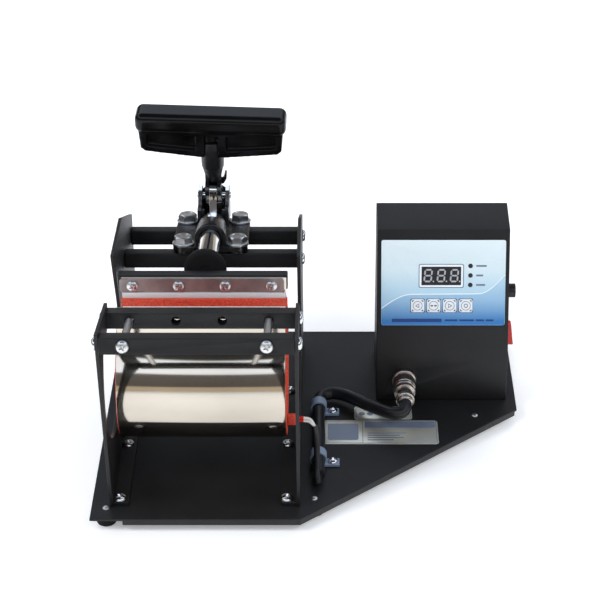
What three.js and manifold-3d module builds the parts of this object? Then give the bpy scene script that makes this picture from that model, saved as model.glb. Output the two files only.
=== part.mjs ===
// Mug heat press: a clamp frame with a wrap-round heater, a toggle clamp and a control box on one base plate.
// Millimetres, +Z up, +X to the operator's right, +Y away from the operator.
// Inside the group, x is from the middle of the base, y from its front edge and z from its top face.
import * as THREE from "three";
import { mergeVertices } from "three/addons/utils/BufferGeometryUtils.js";
import Module from "manifold-3d";

const wasm = await Module();
wasm.setup();

// ---- driving dimensions ----
const GAP = 0.3;
const ROUND = 24; // sides of a plain round
const SMALL_ROUND = 12; // sides of a small round
const FRONT_REACH = 15.35; // how far the bolt heads stand in front of the base
const BASE = { halfWidth: 162, depth: 267, cornerX: -8, cornerY: 147, sheet: 2, flange: 3.6 };
const FOOT = { radius: 7.5, height: 10 };
const FOOT_PLACES = [[-151, 14], [2, 26], [128, 138], [-151, 253], [150, 253]];
const REAR_SLOPE = THREE.MathUtils.degToRad(9); // the rails and the clamp lean down to the back
const FRONT_SLOPE = THREE.MathUtils.degToRad(11); // so do the two front bars
const PLATE = { sheet: 2.6, leftOuter: -148.4, rightOuter: -8.2, flange: 14 };
const MUG_CUT = { y: 70, z: 99, radius: 62 };
const BAR = 12;
const FRONT_BAR_EDGE = { y: -10, z: 160 };
const ANCHOR_BAR_EDGE = { y: 41.5, z: 150 };
const FRONT_RAIL_EDGE = { y: 177, z: 124 };
const REAR_RAIL_EDGE = { y: 230, z: 115.6 };
const WRAP = {
  x0: -140, x1: -18.5, y: 72, frontR: 46.7, rearR: 50, bottom: 33.3, sheet: 1, pad: 4.4, lipTop: 146,
};
const TENSION_X = [-129, -30];
const HOLE_X = [-129, -96, -63, -30];
const CLAMP_X = -79;
const CLAMP = { axis: 10, earU: 70, earW: 25, rodR: 8.2, barrelR: 12 };
const CLAMP_BOLTS = [[-21, 6], [21, 6], [-21, 59.7], [21, 59.7]];
const WIRE_EXIT = { y: 62.5, z: 46 }; // where the heater's wires pass the right side plate
const CRANK = { radius: 15, link: 24, lean: THREE.MathUtils.degToRad(57.62) };
const HANDLE_LEAN = THREE.MathUtils.degToRad(19);
const ROD_END = 50.6; // link pivot on the plunger at rest, behind the front rail's edge
const GRIP = { width: 118, bar: 16.4, depth: 22, from: 43, barFrom: 65, yaw: THREE.MathUtils.degToRad(-3) };
const BOX = { x0: 50.7, x1: 154, sheet: 1.5, front: 160, foldZ: 42.6, topY: 190, topZ: 138.2 };
const BOX_BACK = { y: 234, crestY: 225, crestZ: 143.5 };
const PANEL_TILT = Math.atan((BOX.topY - BOX.front) / (BOX.topZ - BOX.foldZ));
const BUTTON = { side: 10.6, z: 39.9, x: [-19.9, -7.4, 5.2, 17.8] };
const WINDOW = { x0: -17, x1: 13.7, z0: 56.3, z1: 70.9 };
const PLUG = { x: 72.5, z: 20 };
const SIDE_Y = 200; // fuse and rocker switch on the box's right side
const FUSE_Z = 78;
const ROCKER_Z = 39;
const LEAD_R = 4.85;
const CLIP = { x: 5, z: 6.7, innerR: 5.2, outerR: 6.4, width: 9, y: [141, 71], tabX: 21, screwX: 16 };

// ---- finishes ----
const finish = (color, roughness, metalness) =>
  new THREE.MeshStandardMaterial({ color, roughness, metalness });
const BLACK_COAT = finish(0x2b2b2d, 0.6, 0.3);
const CHROME = finish(0xd8dadc, 0.15, 1);
const STAINLESS = finish(0xb9b6b2, 0.25, 1);
const NICKEL = finish(0xb5a9a0, 0.3, 1);
const ZINC = finish(0x6f7074, 0.4, 0.8);
const RUBBER = finish(0x161617, 0.85, 0);
const SILICONE = finish(0xbe3c2d, 0.7, 0);
const BLACK_PLASTIC = finish(0x0c0c0d, 0.25, 0);
const WHITE_PLASTIC = finish(0xe6e8ea, 0.4, 0);
const RED_PLASTIC = finish(0xc22a20, 0.35, 0);
const BLUE_FILM = finish(0x5aa0da, 0.35, 0);
const DARK_WINDOW = finish(0x202226, 0.15, 0);
const BOARD_GREEN = finish(0x1f5a35, 0.6, 0);
const CLIP_GREY = finish(0x6e7d91, 0.5, 0);
const BLACK_LEAD = finish(0x101011, 0.6, 0);

// ---- solids ----
function toSolid(geometry) {
  const bare = geometry.index ? geometry.toNonIndexed() : geometry.clone();
  bare.deleteAttribute("normal");
  bare.deleteAttribute("uv");
  const merged = mergeVertices(bare, 1e-4);
  const vertProperties = merged.attributes.position.array;
  const triVerts = new Uint32Array(merged.index.array);
  return new wasm.Manifold(new wasm.Mesh({ numProp: 3, vertProperties, triVerts }));
}

function toGeometry(solid) {
  const mesh = solid.getMesh();
  const geometry = new THREE.BufferGeometry();
  geometry.setAttribute("position", new THREE.BufferAttribute(new Float32Array(mesh.vertProperties), 3));
  geometry.setIndex(new THREE.BufferAttribute(new Uint32Array(mesh.triVerts), 1));
  return geometry;
}

const join = (...shapes) => toGeometry(shapes.map(toSolid).reduce((all, one) => all.add(one)));
const cut = (body, ...tools) =>
  toGeometry(tools.map(toSolid).reduce((all, one) => all.subtract(one), toSolid(body)));

// ---- shapes ----
const block = (x0, x1, y0, y1, z0, z1) =>
  new THREE.BoxGeometry(x1 - x0, y1 - y0, z1 - z0).translate((x0 + x1) / 2, (y0 + y1) / 2, (z0 + z1) / 2);

const outline = (points) => new THREE.Shape(points.map(([a, b]) => new THREE.Vector2(a, b)));

function extrude(shape, depth, sides = SMALL_ROUND) {
  return new THREE.ExtrudeGeometry(shape, { depth, bevelEnabled: false, curveSegments: sides });
}

// A shape drawn in (y, z) and drawn out from x0 to x1.
function alongX(shape, x0, x1, sides) {
  const turn = new THREE.Matrix4().makeBasis(
    new THREE.Vector3(0, 1, 0), new THREE.Vector3(0, 0, 1), new THREE.Vector3(1, 0, 0));
  return extrude(shape, x1 - x0, sides).applyMatrix4(turn).translate(x0, 0, 0);
}

// A shape drawn in (x, z) and drawn out from y0 to y1.
function alongY(shape, y0, y1, sides) {
  const turn = new THREE.Matrix4().makeBasis(
    new THREE.Vector3(1, 0, 0), new THREE.Vector3(0, 0, 1), new THREE.Vector3(0, -1, 0));
  return extrude(shape, y1 - y0, sides).applyMatrix4(turn).translate(0, y1, 0);
}

const alongZ = (shape, z0, z1, sides) => extrude(shape, z1 - z0, sides).translate(0, 0, z0);

// A round bar centred on (a, b) of the two other axes, from one end to the other along an axis.
function rodX(y, z, radius, x0, x1, sides = ROUND) {
  const rod = new THREE.CylinderGeometry(radius, radius, x1 - x0, sides);
  return rod.rotateZ(Math.PI / 2).translate((x0 + x1) / 2, y, z);
}
function rodY(x, z, radius, y0, y1, sides = ROUND) {
  return new THREE.CylinderGeometry(radius, radius, y1 - y0, sides).translate(x, (y0 + y1) / 2, z);
}
function rodZ(x, y, radius, z0, z1, sides = ROUND) {
  const rod = new THREE.CylinderGeometry(radius, radius, z1 - z0, sides);
  return rod.rotateX(Math.PI / 2).translate(x, y, (z0 + z1) / 2);
}

// A turned shape about its own y, from (radius, height) pairs.
function lathe(points, sides = ROUND) {
  return new THREE.LatheGeometry(points.map(([radius, height]) => new THREE.Vector2(radius, height)), sides);
}

function roundedBox(x0, x1, z0, z1, radius) {
  const shape = new THREE.Shape();
  shape.moveTo(x0 + radius, z0);
  shape.lineTo(x1 - radius, z0);
  shape.absarc(x1 - radius, z0 + radius, radius, -Math.PI / 2, 0);
  shape.lineTo(x1, z1 - radius);
  shape.absarc(x1 - radius, z1 - radius, radius, 0, Math.PI / 2);
  shape.lineTo(x0 + radius, z1);
  shape.absarc(x0 + radius, z1 - radius, radius, Math.PI / 2, Math.PI);
  shape.lineTo(x0, z0 + radius);
  shape.absarc(x0 + radius, z0 + radius, radius, Math.PI, 1.5 * Math.PI);
  return shape;
}

const press = new THREE.Group();
press.position.set(0, (FRONT_REACH - BASE.depth) / 2, FOOT.height + BASE.sheet);

function add(name, geometry, material, parent = press) {
  const mesh = new THREE.Mesh(geometry, material);
  mesh.name = name;
  parent.add(mesh);
  return mesh;
}

// A group whose y runs down the slope to the back and whose z stands square to it.
function slopedGroup(x, edge, slope) {
  const group = new THREE.Group();
  group.position.set(x, edge.y, edge.z);
  group.rotation.x = -slope;
  press.add(group);
  return group;
}

// ---- base ----
function makeBase() {
  const { halfWidth: w, depth, cornerX, cornerY, sheet, flange } = BASE;
  const top = outline([[-w, 0], [cornerX, 0], [w, cornerY], [w, depth], [-w, depth]]);
  const corner = new THREE.Vector2(w - cornerX, cornerY);
  const along = corner.clone().normalize();
  const inward = new THREE.Vector2(-along.y, along.x).multiplyScalar(sheet);
  const relief = 2;
  const skew = (distance, side) => [
    cornerX + along.x * distance + inward.x * side, along.y * distance + inward.y * side];
  const end = corner.length() - relief;
  const diagonal = outline([skew(relief, 0), skew(end, 0), skew(end, 1), skew(relief, 1)]);
  add("base_plate", join(
    alongZ(top, -sheet, 0),
    block(-138, cornerX - relief, 0, sheet, -sheet - flange, -sheet + 0.5),
    alongZ(diagonal, -sheet - flange, -sheet + 0.5)), BLACK_COAT);
  const footTop = FOOT.height - 0.1;
  FOOT_PLACES.forEach(([x, y], i) => {
    const profile = [
      [0, 0], [FOOT.radius - 0.8, 0], [FOOT.radius, 1.2], [FOOT.radius - 0.6, footTop], [0, footTop]];
    const mesh = add("foot_" + (i + 1), lathe(profile, 20).rotateX(Math.PI / 2), RUBBER);
    mesh.position.set(x, y, -sheet - FOOT.height);
  });
}

// ---- side plates ----
function plateOutline() {
  const { y, z, radius } = MUG_CUT;
  const lipZ = 133.5;
  const armZ = 106;
  const shape = new THREE.Shape();
  shape.moveTo(15.4, GAP);
  shape.lineTo(-10.7, 163);
  shape.lineTo(55, 150.6);
  shape.lineTo(53, lipZ);
  const start = Math.PI - Math.asin((lipZ - z) / radius);
  const end = 2 * Math.PI + Math.asin((armZ - z) / radius);
  shape.absarc(y, z, radius, start, end, false);
  shape.lineTo(109, 159);
  shape.lineTo(175, 156);
  shape.lineTo(249, 121);
  shape.lineTo(245, GAP);
  return shape;
}

function makeSidePlates() {
  const { sheet, leftOuter, rightOuter, flange } = PLATE;
  const flangeFrom = 17;
  const flangeTo = 243;
  const left = join(
    alongX(plateOutline(), leftOuter, leftOuter + sheet, 40),
    block(leftOuter + 0.5, leftOuter + flange, flangeFrom, flangeTo, GAP, GAP + sheet));
  add("side_plate_left", left, BLACK_COAT);
  const right = join(
    alongX(plateOutline(), rightOuter - sheet, rightOuter, 40),
    block(rightOuter - flange, rightOuter - 0.5, flangeFrom, flangeTo, GAP, GAP + sheet));
  const wireHole = rodX(WIRE_EXIT.y, WIRE_EXIT.z, 4, rightOuter - 5, rightOuter + 5, SMALL_ROUND);
  const spareHole = rodX(38, 92, 2.6, rightOuter - 5, rightOuter + 5, SMALL_ROUND);
  add("side_plate_right", cut(right, wireHole, spareHole), BLACK_COAT);
}

// ---- bars and rails ----
function makeBars() {
  const x0 = PLATE.leftOuter + PLATE.sheet + 0.1;
  const x1 = PLATE.rightOuter - PLATE.sheet - 0.1;
  const bar = () => block(x0, x1, 0, BAR, -BAR, 0);
  const boltZ = -6;
  const holesAt = (places, radius) => places.map((x) => rodY(x, boltZ, radius, -1, BAR + 1, SMALL_ROUND));
  const frontGroup = slopedGroup(0, FRONT_BAR_EDGE, FRONT_SLOPE);
  add("front_bar", cut(bar(), ...holesAt(TENSION_X, 3.4)), BLACK_COAT, frontGroup);
  const anchorGroup = slopedGroup(0, ANCHOR_BAR_EDGE, FRONT_SLOPE);
  add("anchor_bar", cut(bar(), ...holesAt(HOLE_X, 3.4)), BLACK_COAT, anchorGroup);
  add("clamp_rail_front", bar(), BLACK_COAT, slopedGroup(0, FRONT_RAIL_EDGE, REAR_SLOPE));
  add("clamp_rail_rear", bar(), BLACK_COAT, slopedGroup(0, REAR_RAIL_EDGE, REAR_SLOPE));
  TENSION_X.forEach((x, i) => {
    const profile = [
      [0, -3.4], [3.4, -3.1], [4.8, -1.4], [4.8, -0.1], [3, -0.1], [3, 51.5], [2.4, 52.5], [0, 52.5]];
    const bolt = lathe(profile, SMALL_ROUND);
    const driveSlot = block(-0.5, 0.5, -4, -2.2, -2.6, 2.6);
    const name = ["tension_bolt_left", "tension_bolt_right"][i];
    const mesh = add(name, cut(bolt, driveSlot), CHROME, frontGroup);
    mesh.position.set(x, 0, boltZ);
  });
}

// ---- heater wrap ----
// One half of the wrap, as a strip between two radii with an upright lip at its top.
// side is -1 for the half towards the operator and 1 for the half towards the clamp.
function wrapHalf(side, centreZ, outerR, thick, lipY, lipTop) {
  const splitGap = 0.2;
  const innerR = outerR - thick;
  const fullTurn = side > 0 ? 2 * Math.PI : 0;
  const angle = (radius, y) => Math.acos((y - WRAP.y) / radius) + fullTurn;
  const outerLip = side > 0 ? lipY + thick : lipY;
  const innerLip = side > 0 ? lipY : lipY + thick;
  const shape = new THREE.Shape();
  const bottomOuter = 1.5 * Math.PI + side * Math.asin(splitGap / outerR);
  const bottomInner = 1.5 * Math.PI + side * Math.asin(splitGap / innerR);
  const topOuter = angle(outerR, outerLip);
  const topInner = angle(innerR, innerLip);
  shape.absarc(WRAP.y, centreZ, outerR, bottomOuter, topOuter, side < 0);
  shape.lineTo(outerLip, lipTop);
  shape.lineTo(innerLip, lipTop);
  shape.absarc(WRAP.y, centreZ, innerR, topInner, bottomInner, side > 0);
  return alongX(shape, WRAP.x0, WRAP.x1, 20);
}

function makeWrap() {
  const { sheet, pad, frontR, rearR, bottom, lipTop } = WRAP;
  const frontZ = bottom + frontR;
  const rearZ = bottom + rearR;
  add("wrap_shell_front", wrapHalf(-1, frontZ, frontR, sheet, 54, lipTop), STAINLESS);
  add("wrap_shell_rear", wrapHalf(1, rearZ, rearR, sheet, 100, lipTop), STAINLESS);
  const frontPad = wrapHalf(-1, frontZ, frontR - sheet - GAP, pad, 55.3, 128);
  add("heater_pad_front", frontPad, SILICONE);
  add("heater_pad_rear", wrapHalf(1, rearZ, rearR - sheet - GAP, pad, 95.3, 129.8), SILICONE);
  const terminal = { halfDepth: 3, halfHeight: 3.8, x1: -11.2 };
  add("heater_terminal", block(
    WRAP.x1 + GAP, terminal.x1,
    WIRE_EXIT.y - terminal.halfDepth, WIRE_EXIT.y + terminal.halfDepth,
    WIRE_EXIT.z - terminal.halfHeight, WIRE_EXIT.z + terminal.halfHeight), SILICONE);
  const strip = roundedBox(WRAP.x0 - 1.5, WRAP.x1 - 1.5, 134, lipTop, 3);
  add("anchor_strip", alongY(strip, 55.3, 56.8, 4), STAINLESS);
  add("pull_strip", alongY(strip, 98.2, 99.7, 4), STAINLESS);
  add("pull_bar", block(-142.9, -17.5, 101.3, 109.3, 135, 147), BLACK_COAT);
}

// ---- toggle clamp ----
// The fixed body: a wing plate on four spacers, a barrel that narrows to the back and two ears for the pivot.
function makeClampBody(clamp) {
  const { axis, earU, earW, rodR, barrelR } = CLAMP;
  const wing = { x: 29, from: -3, to: 69, bottom: 2.7, top: 5.7, corner: 8 };
  const barrel = { from: 6, to: 45 };
  const cheekTo = earU + 12;
  const ear = { inner: 9.3, outer: 12.3 };
  const earShape = outline([[47, 4], [82, 4], [82, 22], [77, 31], [70, 33], [63, 31], [56, 21], [47, 21]]);
  const barrelProfile = [
    [0, barrel.from], [barrelR, barrel.from], [barrelR, 20], [11.6, 29], [10.8, 36], [9.6, 42],
    [8.9, barrel.to], [0, barrel.to]];
  const frontWing = { inner: 6.8, from: 46, to: 48.6, bottom: 4, top: 20 };
  const spacers = CLAMP_BOLTS.map(([x, u]) => rodZ(x, u, 8, 0.2, 3.2, 16));
  const body = join(
    alongZ(roundedBox(-wing.x, wing.x, wing.from, wing.to, wing.corner), wing.bottom, wing.top, 6),
    lathe(barrelProfile, 32).translate(0, 0, axis),
    block(-barrelR, -rodR - 0.5, barrel.to - 9, cheekTo, wing.bottom, wing.top + 1),
    block(rodR + 0.5, barrelR, barrel.to - 9, cheekTo, wing.bottom, wing.top + 1),
    alongX(earShape, ear.inner, ear.outer),
    alongX(earShape, -ear.outer, -ear.inner),
    block(frontWing.inner, ear.outer, frontWing.from, frontWing.to, frontWing.bottom, frontWing.top),
    block(-ear.outer, -frontWing.inner, frontWing.from, frontWing.to, frontWing.bottom, frontWing.top),
    ...spacers);
  const bore = rodY(0, axis, rodR + GAP, -10, earU + 20, 32);
  const linkSlot = block(-3.9, 3.9, 24, barrel.to + 1, axis, 30);
  const flat = block(-barrelR, barrelR, barrel.from - 1, barrel.to + 1, -8, GAP);
  const boltHoles = CLAMP_BOLTS.map(([x, u]) => rodZ(x, u, 4.3, -1, 8, SMALL_ROUND));
  const pinHole = rodX(earU, earW, 2.8, -20, 20, SMALL_ROUND);
  add("clamp_body", cut(body, bore, linkSlot, flat, pinHole, ...boltHoles), ZINC, clamp);
  add("pivot_pin", rodX(earU, earW, 2.5, -13.5, 13.5, SMALL_ROUND), CHROME, clamp);

  const seat = wing.top + 0.1;
  const head = { washerR: 8.3, washer: 1.6, cornerR: 7.5, height: 5.3 };
  const top = seat + head.washer + 0.1;
  CLAMP_BOLTS.forEach(([x, u], i) => {
    const washer = cut(
      rodZ(x, u, head.washerR, seat, seat + head.washer, ROUND),
      rodZ(x, u, 4.4, 0, 20, SMALL_ROUND));
    add("clamp_washer_" + (i + 1), washer, CHROME, clamp);
    const bolt = join(
      rodZ(x, u, head.cornerR, top, top + head.height, 6),
      rodZ(x, u, 3.9, GAP, top + 1, SMALL_ROUND));
    add("clamp_bolt_" + (i + 1), bolt, CHROME, clamp);
  });
}

function makeClamp() {
  const clamp = slopedGroup(CLAMP_X, FRONT_RAIL_EDGE, REAR_SLOPE);
  const { axis, earU, earW, rodR } = CLAMP;
  makeClampBody(clamp);

  // Plunger: a round rod with a fork at its rear end and a stud for the rubber foot.
  const rod = join(rodY(0, axis, rodR, -55.7, 58, 32), rodY(0, axis, 4, -62, -55, SMALL_ROUND));
  const fork = block(-3.4, 3.4, 36, 59, -1, 25);
  add("clamp_plunger", cut(rod, fork), CHROME, clamp);
  const footProfile = [[0, -66], [13, -66], [15.6, -64.6], [16, -62], [15, -58.5], [11, -56], [0, -56]];
  const rubber = lathe(footProfile, 32).translate(0, 0, axis);
  add("plunger_foot", cut(rubber, rodY(0, axis, 4.3, -62.3, -50, SMALL_ROUND)), RUBBER, clamp);

  // Lever and grip, drawn upright along z with the main pivot at the group's origin.
  const lever = new THREE.Group();
  lever.position.set(0, earU, earW);
  lever.rotation.x = HANDLE_LEAN;
  clamp.add(lever);
  const crankAngle = CRANK.lean - HANDLE_LEAN;
  const crank = { y: -CRANK.radius * Math.sin(crankAngle), z: CRANK.radius * Math.cos(crankAngle) };
  const arm = join(
    rodX(0, 0, 6.5, -6.3, 6.3, 16),
    rodX(crank.y, crank.z, 5, -6.3, 6.3, 16),
    alongX(outline([[6.4, -1], [4, 14], [4, 26], [-4, 26], [-5, 18], [crank.y - 2, crank.z + 4.6],
      [crank.y - 4.8, crank.z - 1.5], [-4, -5]]), -6.3, 6.3),
    rodZ(0, 0, 4, 20, 50, 16));
  const linkGap = block(-3.4, 3.4, -20, -3.2, -3.4, 18.6);
  const pivotHole = rodX(0, 0, 2.8, -10, 10, SMALL_ROUND);
  const linkPinHole = rodX(crank.y, crank.z, 2.3, -10, 10, SMALL_ROUND);
  add("clamp_lever", cut(arm, linkGap, pivotHole, linkPinHole), ZINC, lever);
  add("link_pin", rodX(crank.y, crank.z, 2, -6.2, 6.2, SMALL_ROUND), CHROME, lever);
  const neckProfile = [[4.3, 27], [8, 27], [9, 29], [9, 48], [7.6, 55], [4.3, 55], [4.3, 27]];
  const neck = lathe(neckProfile).rotateX(Math.PI / 2);
  add("grip_neck", cut(neck, rodZ(0, 0, 4.3, 20, 60, 16)), BLACK_PLASTIC, lever);
  makeGrip(lever);

  // Link: an eye on the lever's crank and an eye inside the plunger's fork.
  const upper = {
    y: earU - CRANK.radius * Math.sin(CRANK.lean),
    z: earW + CRANK.radius * Math.cos(CRANK.lean),
  };
  const lower = { y: ROD_END, z: axis };
  const length = Math.hypot(upper.y - lower.y, upper.z - lower.z);
  const halfWeb = 4;
  const side = { y: (upper.z - lower.z) / length * halfWeb, z: -(upper.y - lower.y) / length * halfWeb };
  const web = outline([[upper.y + side.y, upper.z + side.z], [upper.y - side.y, upper.z - side.z],
    [lower.y - side.y, lower.z - side.z], [lower.y + side.y, lower.z + side.z]]);
  const halfLink = 2.9;
  const link = join(
    alongX(web, -halfLink, halfLink),
    rodX(upper.y, upper.z, 4.4, -halfLink, halfLink, 16),
    rodX(lower.y, lower.z, 4.4, -halfLink, halfLink, 16));
  const eyes = [
    rodX(upper.y, upper.z, 2.3, -5, 5, SMALL_ROUND),
    rodX(lower.y, lower.z, 2.2, -5, 5, SMALL_ROUND)];
  add("clamp_link", cut(link, ...eyes), ZINC, clamp);
}

function makeGrip(lever) {
  const { width, bar, depth, from, barFrom, yaw } = GRIP;
  const w = width / 2;
  const web = outline([
    [-11, from], [11, from], [w - 5, from + 5],
    [w - 3, barFrom + 2], [-w + 3, barFrom + 2], [-w + 5, from + 5]]);
  const crossbar = alongY(roundedBox(-w, w, barFrom, barFrom + bar, 5), -depth / 2, depth / 2, 5);
  const body = alongY(web, -8.5, 8.5);
  const pocket = (x0, x1, y0, y1) => block(x0, x1, y0, y1, from + 8, barFrom - 2);
  const pockets = [
    pocket(-w + 9, -12, -20, -3),
    pocket(12, w - 9, -20, -3),
    pocket(-w + 9, -12, 3, 20),
    pocket(12, w - 9, 3, 20)];
  const socket = rodZ(0, 0, 9.4, 20, 57, ROUND);
  const shank = rodZ(0, 0, 4.3, 20, 58, 16);
  const mesh = add("t_grip", cut(join(crossbar, body), ...pockets, socket, shank), BLACK_PLASTIC, lever);
  mesh.rotation.z = yaw;
}

// ---- control box ----
// The shell's section, and the section of the space inside it, which is open at the bottom and the back.
function boxOutline() {
  return outline([
    [BOX.front, GAP], [BOX.front, BOX.foldZ], [BOX.topY, BOX.topZ], [BOX_BACK.crestY, BOX_BACK.crestZ],
    [BOX_BACK.y, BOX_BACK.crestZ - 5], [BOX_BACK.y, GAP]]);
}

function boxHollow() {
  const t = BOX.sheet;
  const beyond = 5;
  const back = BOX_BACK.y + beyond;
  return outline([
    [BOX.front + t, GAP - beyond], [BOX.front + t, BOX.foldZ - t * 0.1], [BOX.topY + t * 0.9, BOX.topZ - t],
    [BOX_BACK.crestY, BOX_BACK.crestZ - t], [back, BOX_BACK.crestZ - 5 - t], [back, GAP - beyond]]);
}

function panelGroup() {
  const group = new THREE.Group();
  group.position.set((BOX.x0 + BOX.x1) / 2, BOX.front, BOX.foldZ);
  group.rotation.x = -PANEL_TILT;
  press.add(group);
  return group;
}

function makeControlBox() {
  const { x0, x1, sheet } = BOX;
  const shell = cut(
    alongX(boxOutline(), x0, x1),
    alongX(boxHollow(), x0 + sheet, x1 - sheet),
    rodY(PLUG.x, PLUG.z, 7.3, BOX.front - 5, BOX.front + 5, ROUND),
    rodX(SIDE_Y, FUSE_Z, 5.2, x1 - 5, x1 + 5, ROUND),
    block(x1 - 5, x1 + 5, SIDE_Y - 5.8, SIDE_Y + 5.8, ROCKER_Z - 10.9, ROCKER_Z + 10.9));
  add("control_box", shell, BLACK_COAT);

  const inlet = { x: 78, z: 30 };
  const inletBlock = (halfW, halfH, y0, y1) =>
    block(inlet.x - halfW, inlet.x + halfW, y0, y1, inlet.z - halfH, inlet.z + halfH);
  const cover = outline([[x0 + 2, GAP], [x1 - 2, GAP], [x1 - 2, 134], [x0 + 2, 134]]);
  add("control_back", cut(
    alongY(cover, BOX_BACK.y - 2.2, BOX_BACK.y - 0.4),
    inletBlock(14, 10, BOX_BACK.y - 14, BOX_BACK.y + 6)), BLACK_COAT);
  const flange = roundedBox(inlet.x - 24, inlet.x + 24, inlet.z - 13, inlet.z + 13, 4);
  add("mains_inlet", cut(
    join(
      alongY(flange, BOX_BACK.y - 0.1, BOX_BACK.y + 2.4, 4),
      inletBlock(13.5, 9.5, BOX_BACK.y - 20, BOX_BACK.y + 0.2)),
    inletBlock(12, 8, BOX_BACK.y - 16, BOX_BACK.y + 5)), BLACK_PLASTIC);
  makePanel(panelGroup());
}

function makePanel(panel) {
  const face = alongY(roundedBox(-48.5, 48.5, 24, 92, 1.5), -1.3, -GAP, 3);
  const opening = BUTTON.side / 2 + 0.35;
  const openings = BUTTON.x.map((x) =>
    block(x - opening, x + opening, -3, 3, BUTTON.z - opening, BUTTON.z + opening));
  openings.push(block(WINDOW.x0 - GAP, WINDOW.x1 + GAP, -3, 3, WINDOW.z0 - GAP, WINDOW.z1 + GAP));
  add("panel_overlay", cut(face, ...openings), BLUE_FILM, panel);
  add("display_window", block(WINDOW.x0, WINDOW.x1, -1.1, -GAP, WINDOW.z0, WINDOW.z1), DARK_WINDOW, panel);
  add("circuit_board", block(-42, 42, 8, 9.6, 24, 90), BOARD_GREEN, panel);
  const half = BUTTON.side / 2;
  BUTTON.x.forEach((x, i) => {
    const cap = alongY(roundedBox(x - half, x + half, BUTTON.z - half, BUTTON.z + half, 1.6), -2, -0.9, 3);
    add("button_" + (i + 1), cap, WHITE_PLASTIC, panel);
  });
}

function makeSideFittings() {
  const x = BOX.x1;
  const onSide = (x0, x1, halfY, halfZ) =>
    block(x0, x1, SIDE_Y - halfY, SIDE_Y + halfY, ROCKER_Z - halfZ, ROCKER_Z + halfZ);
  const holder = join(
    rodX(SIDE_Y, FUSE_Z, 7, x + 0.1, x + 1.8, ROUND),
    rodX(SIDE_Y, FUSE_Z, 4.9, x - 22, x + 0.5, 16));
  add("fuse_holder", holder, BLACK_PLASTIC);
  const cap = rodX(SIDE_Y, FUSE_Z, 5.6, x + 2, x + 7.4, ROUND);
  const driveSlot = block(x + 6.5, x + 9, SIDE_Y - 0.7, SIDE_Y + 0.7, FUSE_Z - 7, FUSE_Z + 7);
  add("fuse_cap", cut(cap, driveSlot), BLACK_PLASTIC);
  const frame = join(onSide(x + 0.1, x + 2.6, 7.5, 12.4), onSide(x - 14, x + 0.5, 5.5, 10.6));
  add("rocker_housing", cut(frame, onSide(x - 8, x + 4, 4.9, 9.9)), RED_PLASTIC);
  const wedge = outline([[-8.9, -2], [8.9, -2], [9, 5.4], [0, 6.4], [-9, 7.5]]
    .map(([z, out]) => [x + out, ROCKER_Z + z]));
  add("rocker_switch", alongY(wedge, SIDE_Y - 4.5, SIDE_Y + 4.5), RED_PLASTIC);
}

// ---- plug, lead and clips ----
function makePlug() {
  const ring = (points) => lathe(points).translate(PLUG.x, 0, PLUG.z);
  const socketProfile = [
    [0, 148], [6.4, 148], [6.4, 156], [9.8, 156], [9.8, 159.8], [7, 159.8], [7, 170], [0, 170]];
  add("lead_socket", ring(socketProfile), NICKEL);
  const nutProfile = [[6.8, 143], [8.75, 143], [8.75, 155.6], [6.8, 155.6], [6.8, 143]];
  add("coupling_nut", ring(nutProfile), NICKEL);
  const plugProfile = [
    [0, 124], [6.2, 124], [6.2, 128], [7.3, 128], [7.3, 132], [5.6, 133], [5.6, 138], [8.3, 138.6],
    [8.3, 141], [5.9, 142.4], [5.9, 147.7], [0, 147.7]];
  add("lead_plug", ring(plugProfile), NICKEL);
}

function tube(points, radius, sides, steps) {
  const places = points.map((p) => new THREE.Vector3(...p));
  const extrudePath = new THREE.CatmullRomCurve3(places, false, "centripetal");
  const section = new THREE.Shape();
  section.absarc(0, 0, radius, 0, 2 * Math.PI);
  const curveSegments = sides / 2;
  return new THREE.ExtrudeGeometry(section, { steps, curveSegments, extrudePath, bevelEnabled: false });
}

const LEAD_ROUTE = [
  [72.5, 123.6, 20], [72.3, 119, 19.8], [69.5, 113.5, 19], [63.5, 113.5, 17.8], [54, 121.5, 15.8],
  [44, 132.5, 13], [34, 145, 10.4], [25, 154, 8.6], [16, 158.5, 7.4], [8.5, 156, 6.9], [5.3, 149, 6.7],
  [5, 141, 6.7], [5, 120, 6.5], [5.3, 95, 6.5], [5, 71, 6.7], [5, 47, 6.7]];
const WIRE_ROUTE = [
  [-11, WIRE_EXIT.y, WIRE_EXIT.z], [-6, WIRE_EXIT.y, WIRE_EXIT.z], [-1.2, 62.3, 44.9], [2.2, 61.4, 41],
  [3.6, 59, 31], [4, 54, 21.5], [4, 47.5, 15.4], [4, 42.8, 11.8], [4.2, 40.3, 8.2], [4.7, 39.4, 5.3],
  [5, 40.7, 4.8], [5, 43.2, 6.3], [5, 46.4, 6.6]];

function makeLead() {
  add("heater_lead", tube(LEAD_ROUTE, LEAD_R, 10, 56), BLACK_LEAD);
  add("heater_wires", tube(WIRE_ROUTE, 2, 8, 32), BLACK_LEAD);
  CLIP.y.forEach((y, i) => {
    const band = new THREE.Shape().absarc(CLIP.x, CLIP.z, CLIP.outerR, 0, 2 * Math.PI);
    const eye = roundedBox(CLIP.x, CLIP.tabX, 0.25, 1.9, 0.4);
    const [y0, y1] = [y - CLIP.width / 2, y + CLIP.width / 2];
    const clip = cut(
      join(alongY(band, y0, y1, 16), alongY(eye, y0, y1, 2)),
      rodY(CLIP.x, CLIP.z, CLIP.innerR, y - 10, y + 10, 20),
      rodZ(CLIP.screwX, y, 2.2, -1, 5, SMALL_ROUND));
    add("cable_clip_" + (i + 1), clip, CLIP_GREY);
  });
}

makeBase();
makeSidePlates();
makeBars();
makeWrap();
makeClamp();
makeControlBox();
makeSideFittings();
makePlug();
makeLead();

export default press;
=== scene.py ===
"""Mug heat press, dressed for display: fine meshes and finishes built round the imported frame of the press."""
import math

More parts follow.
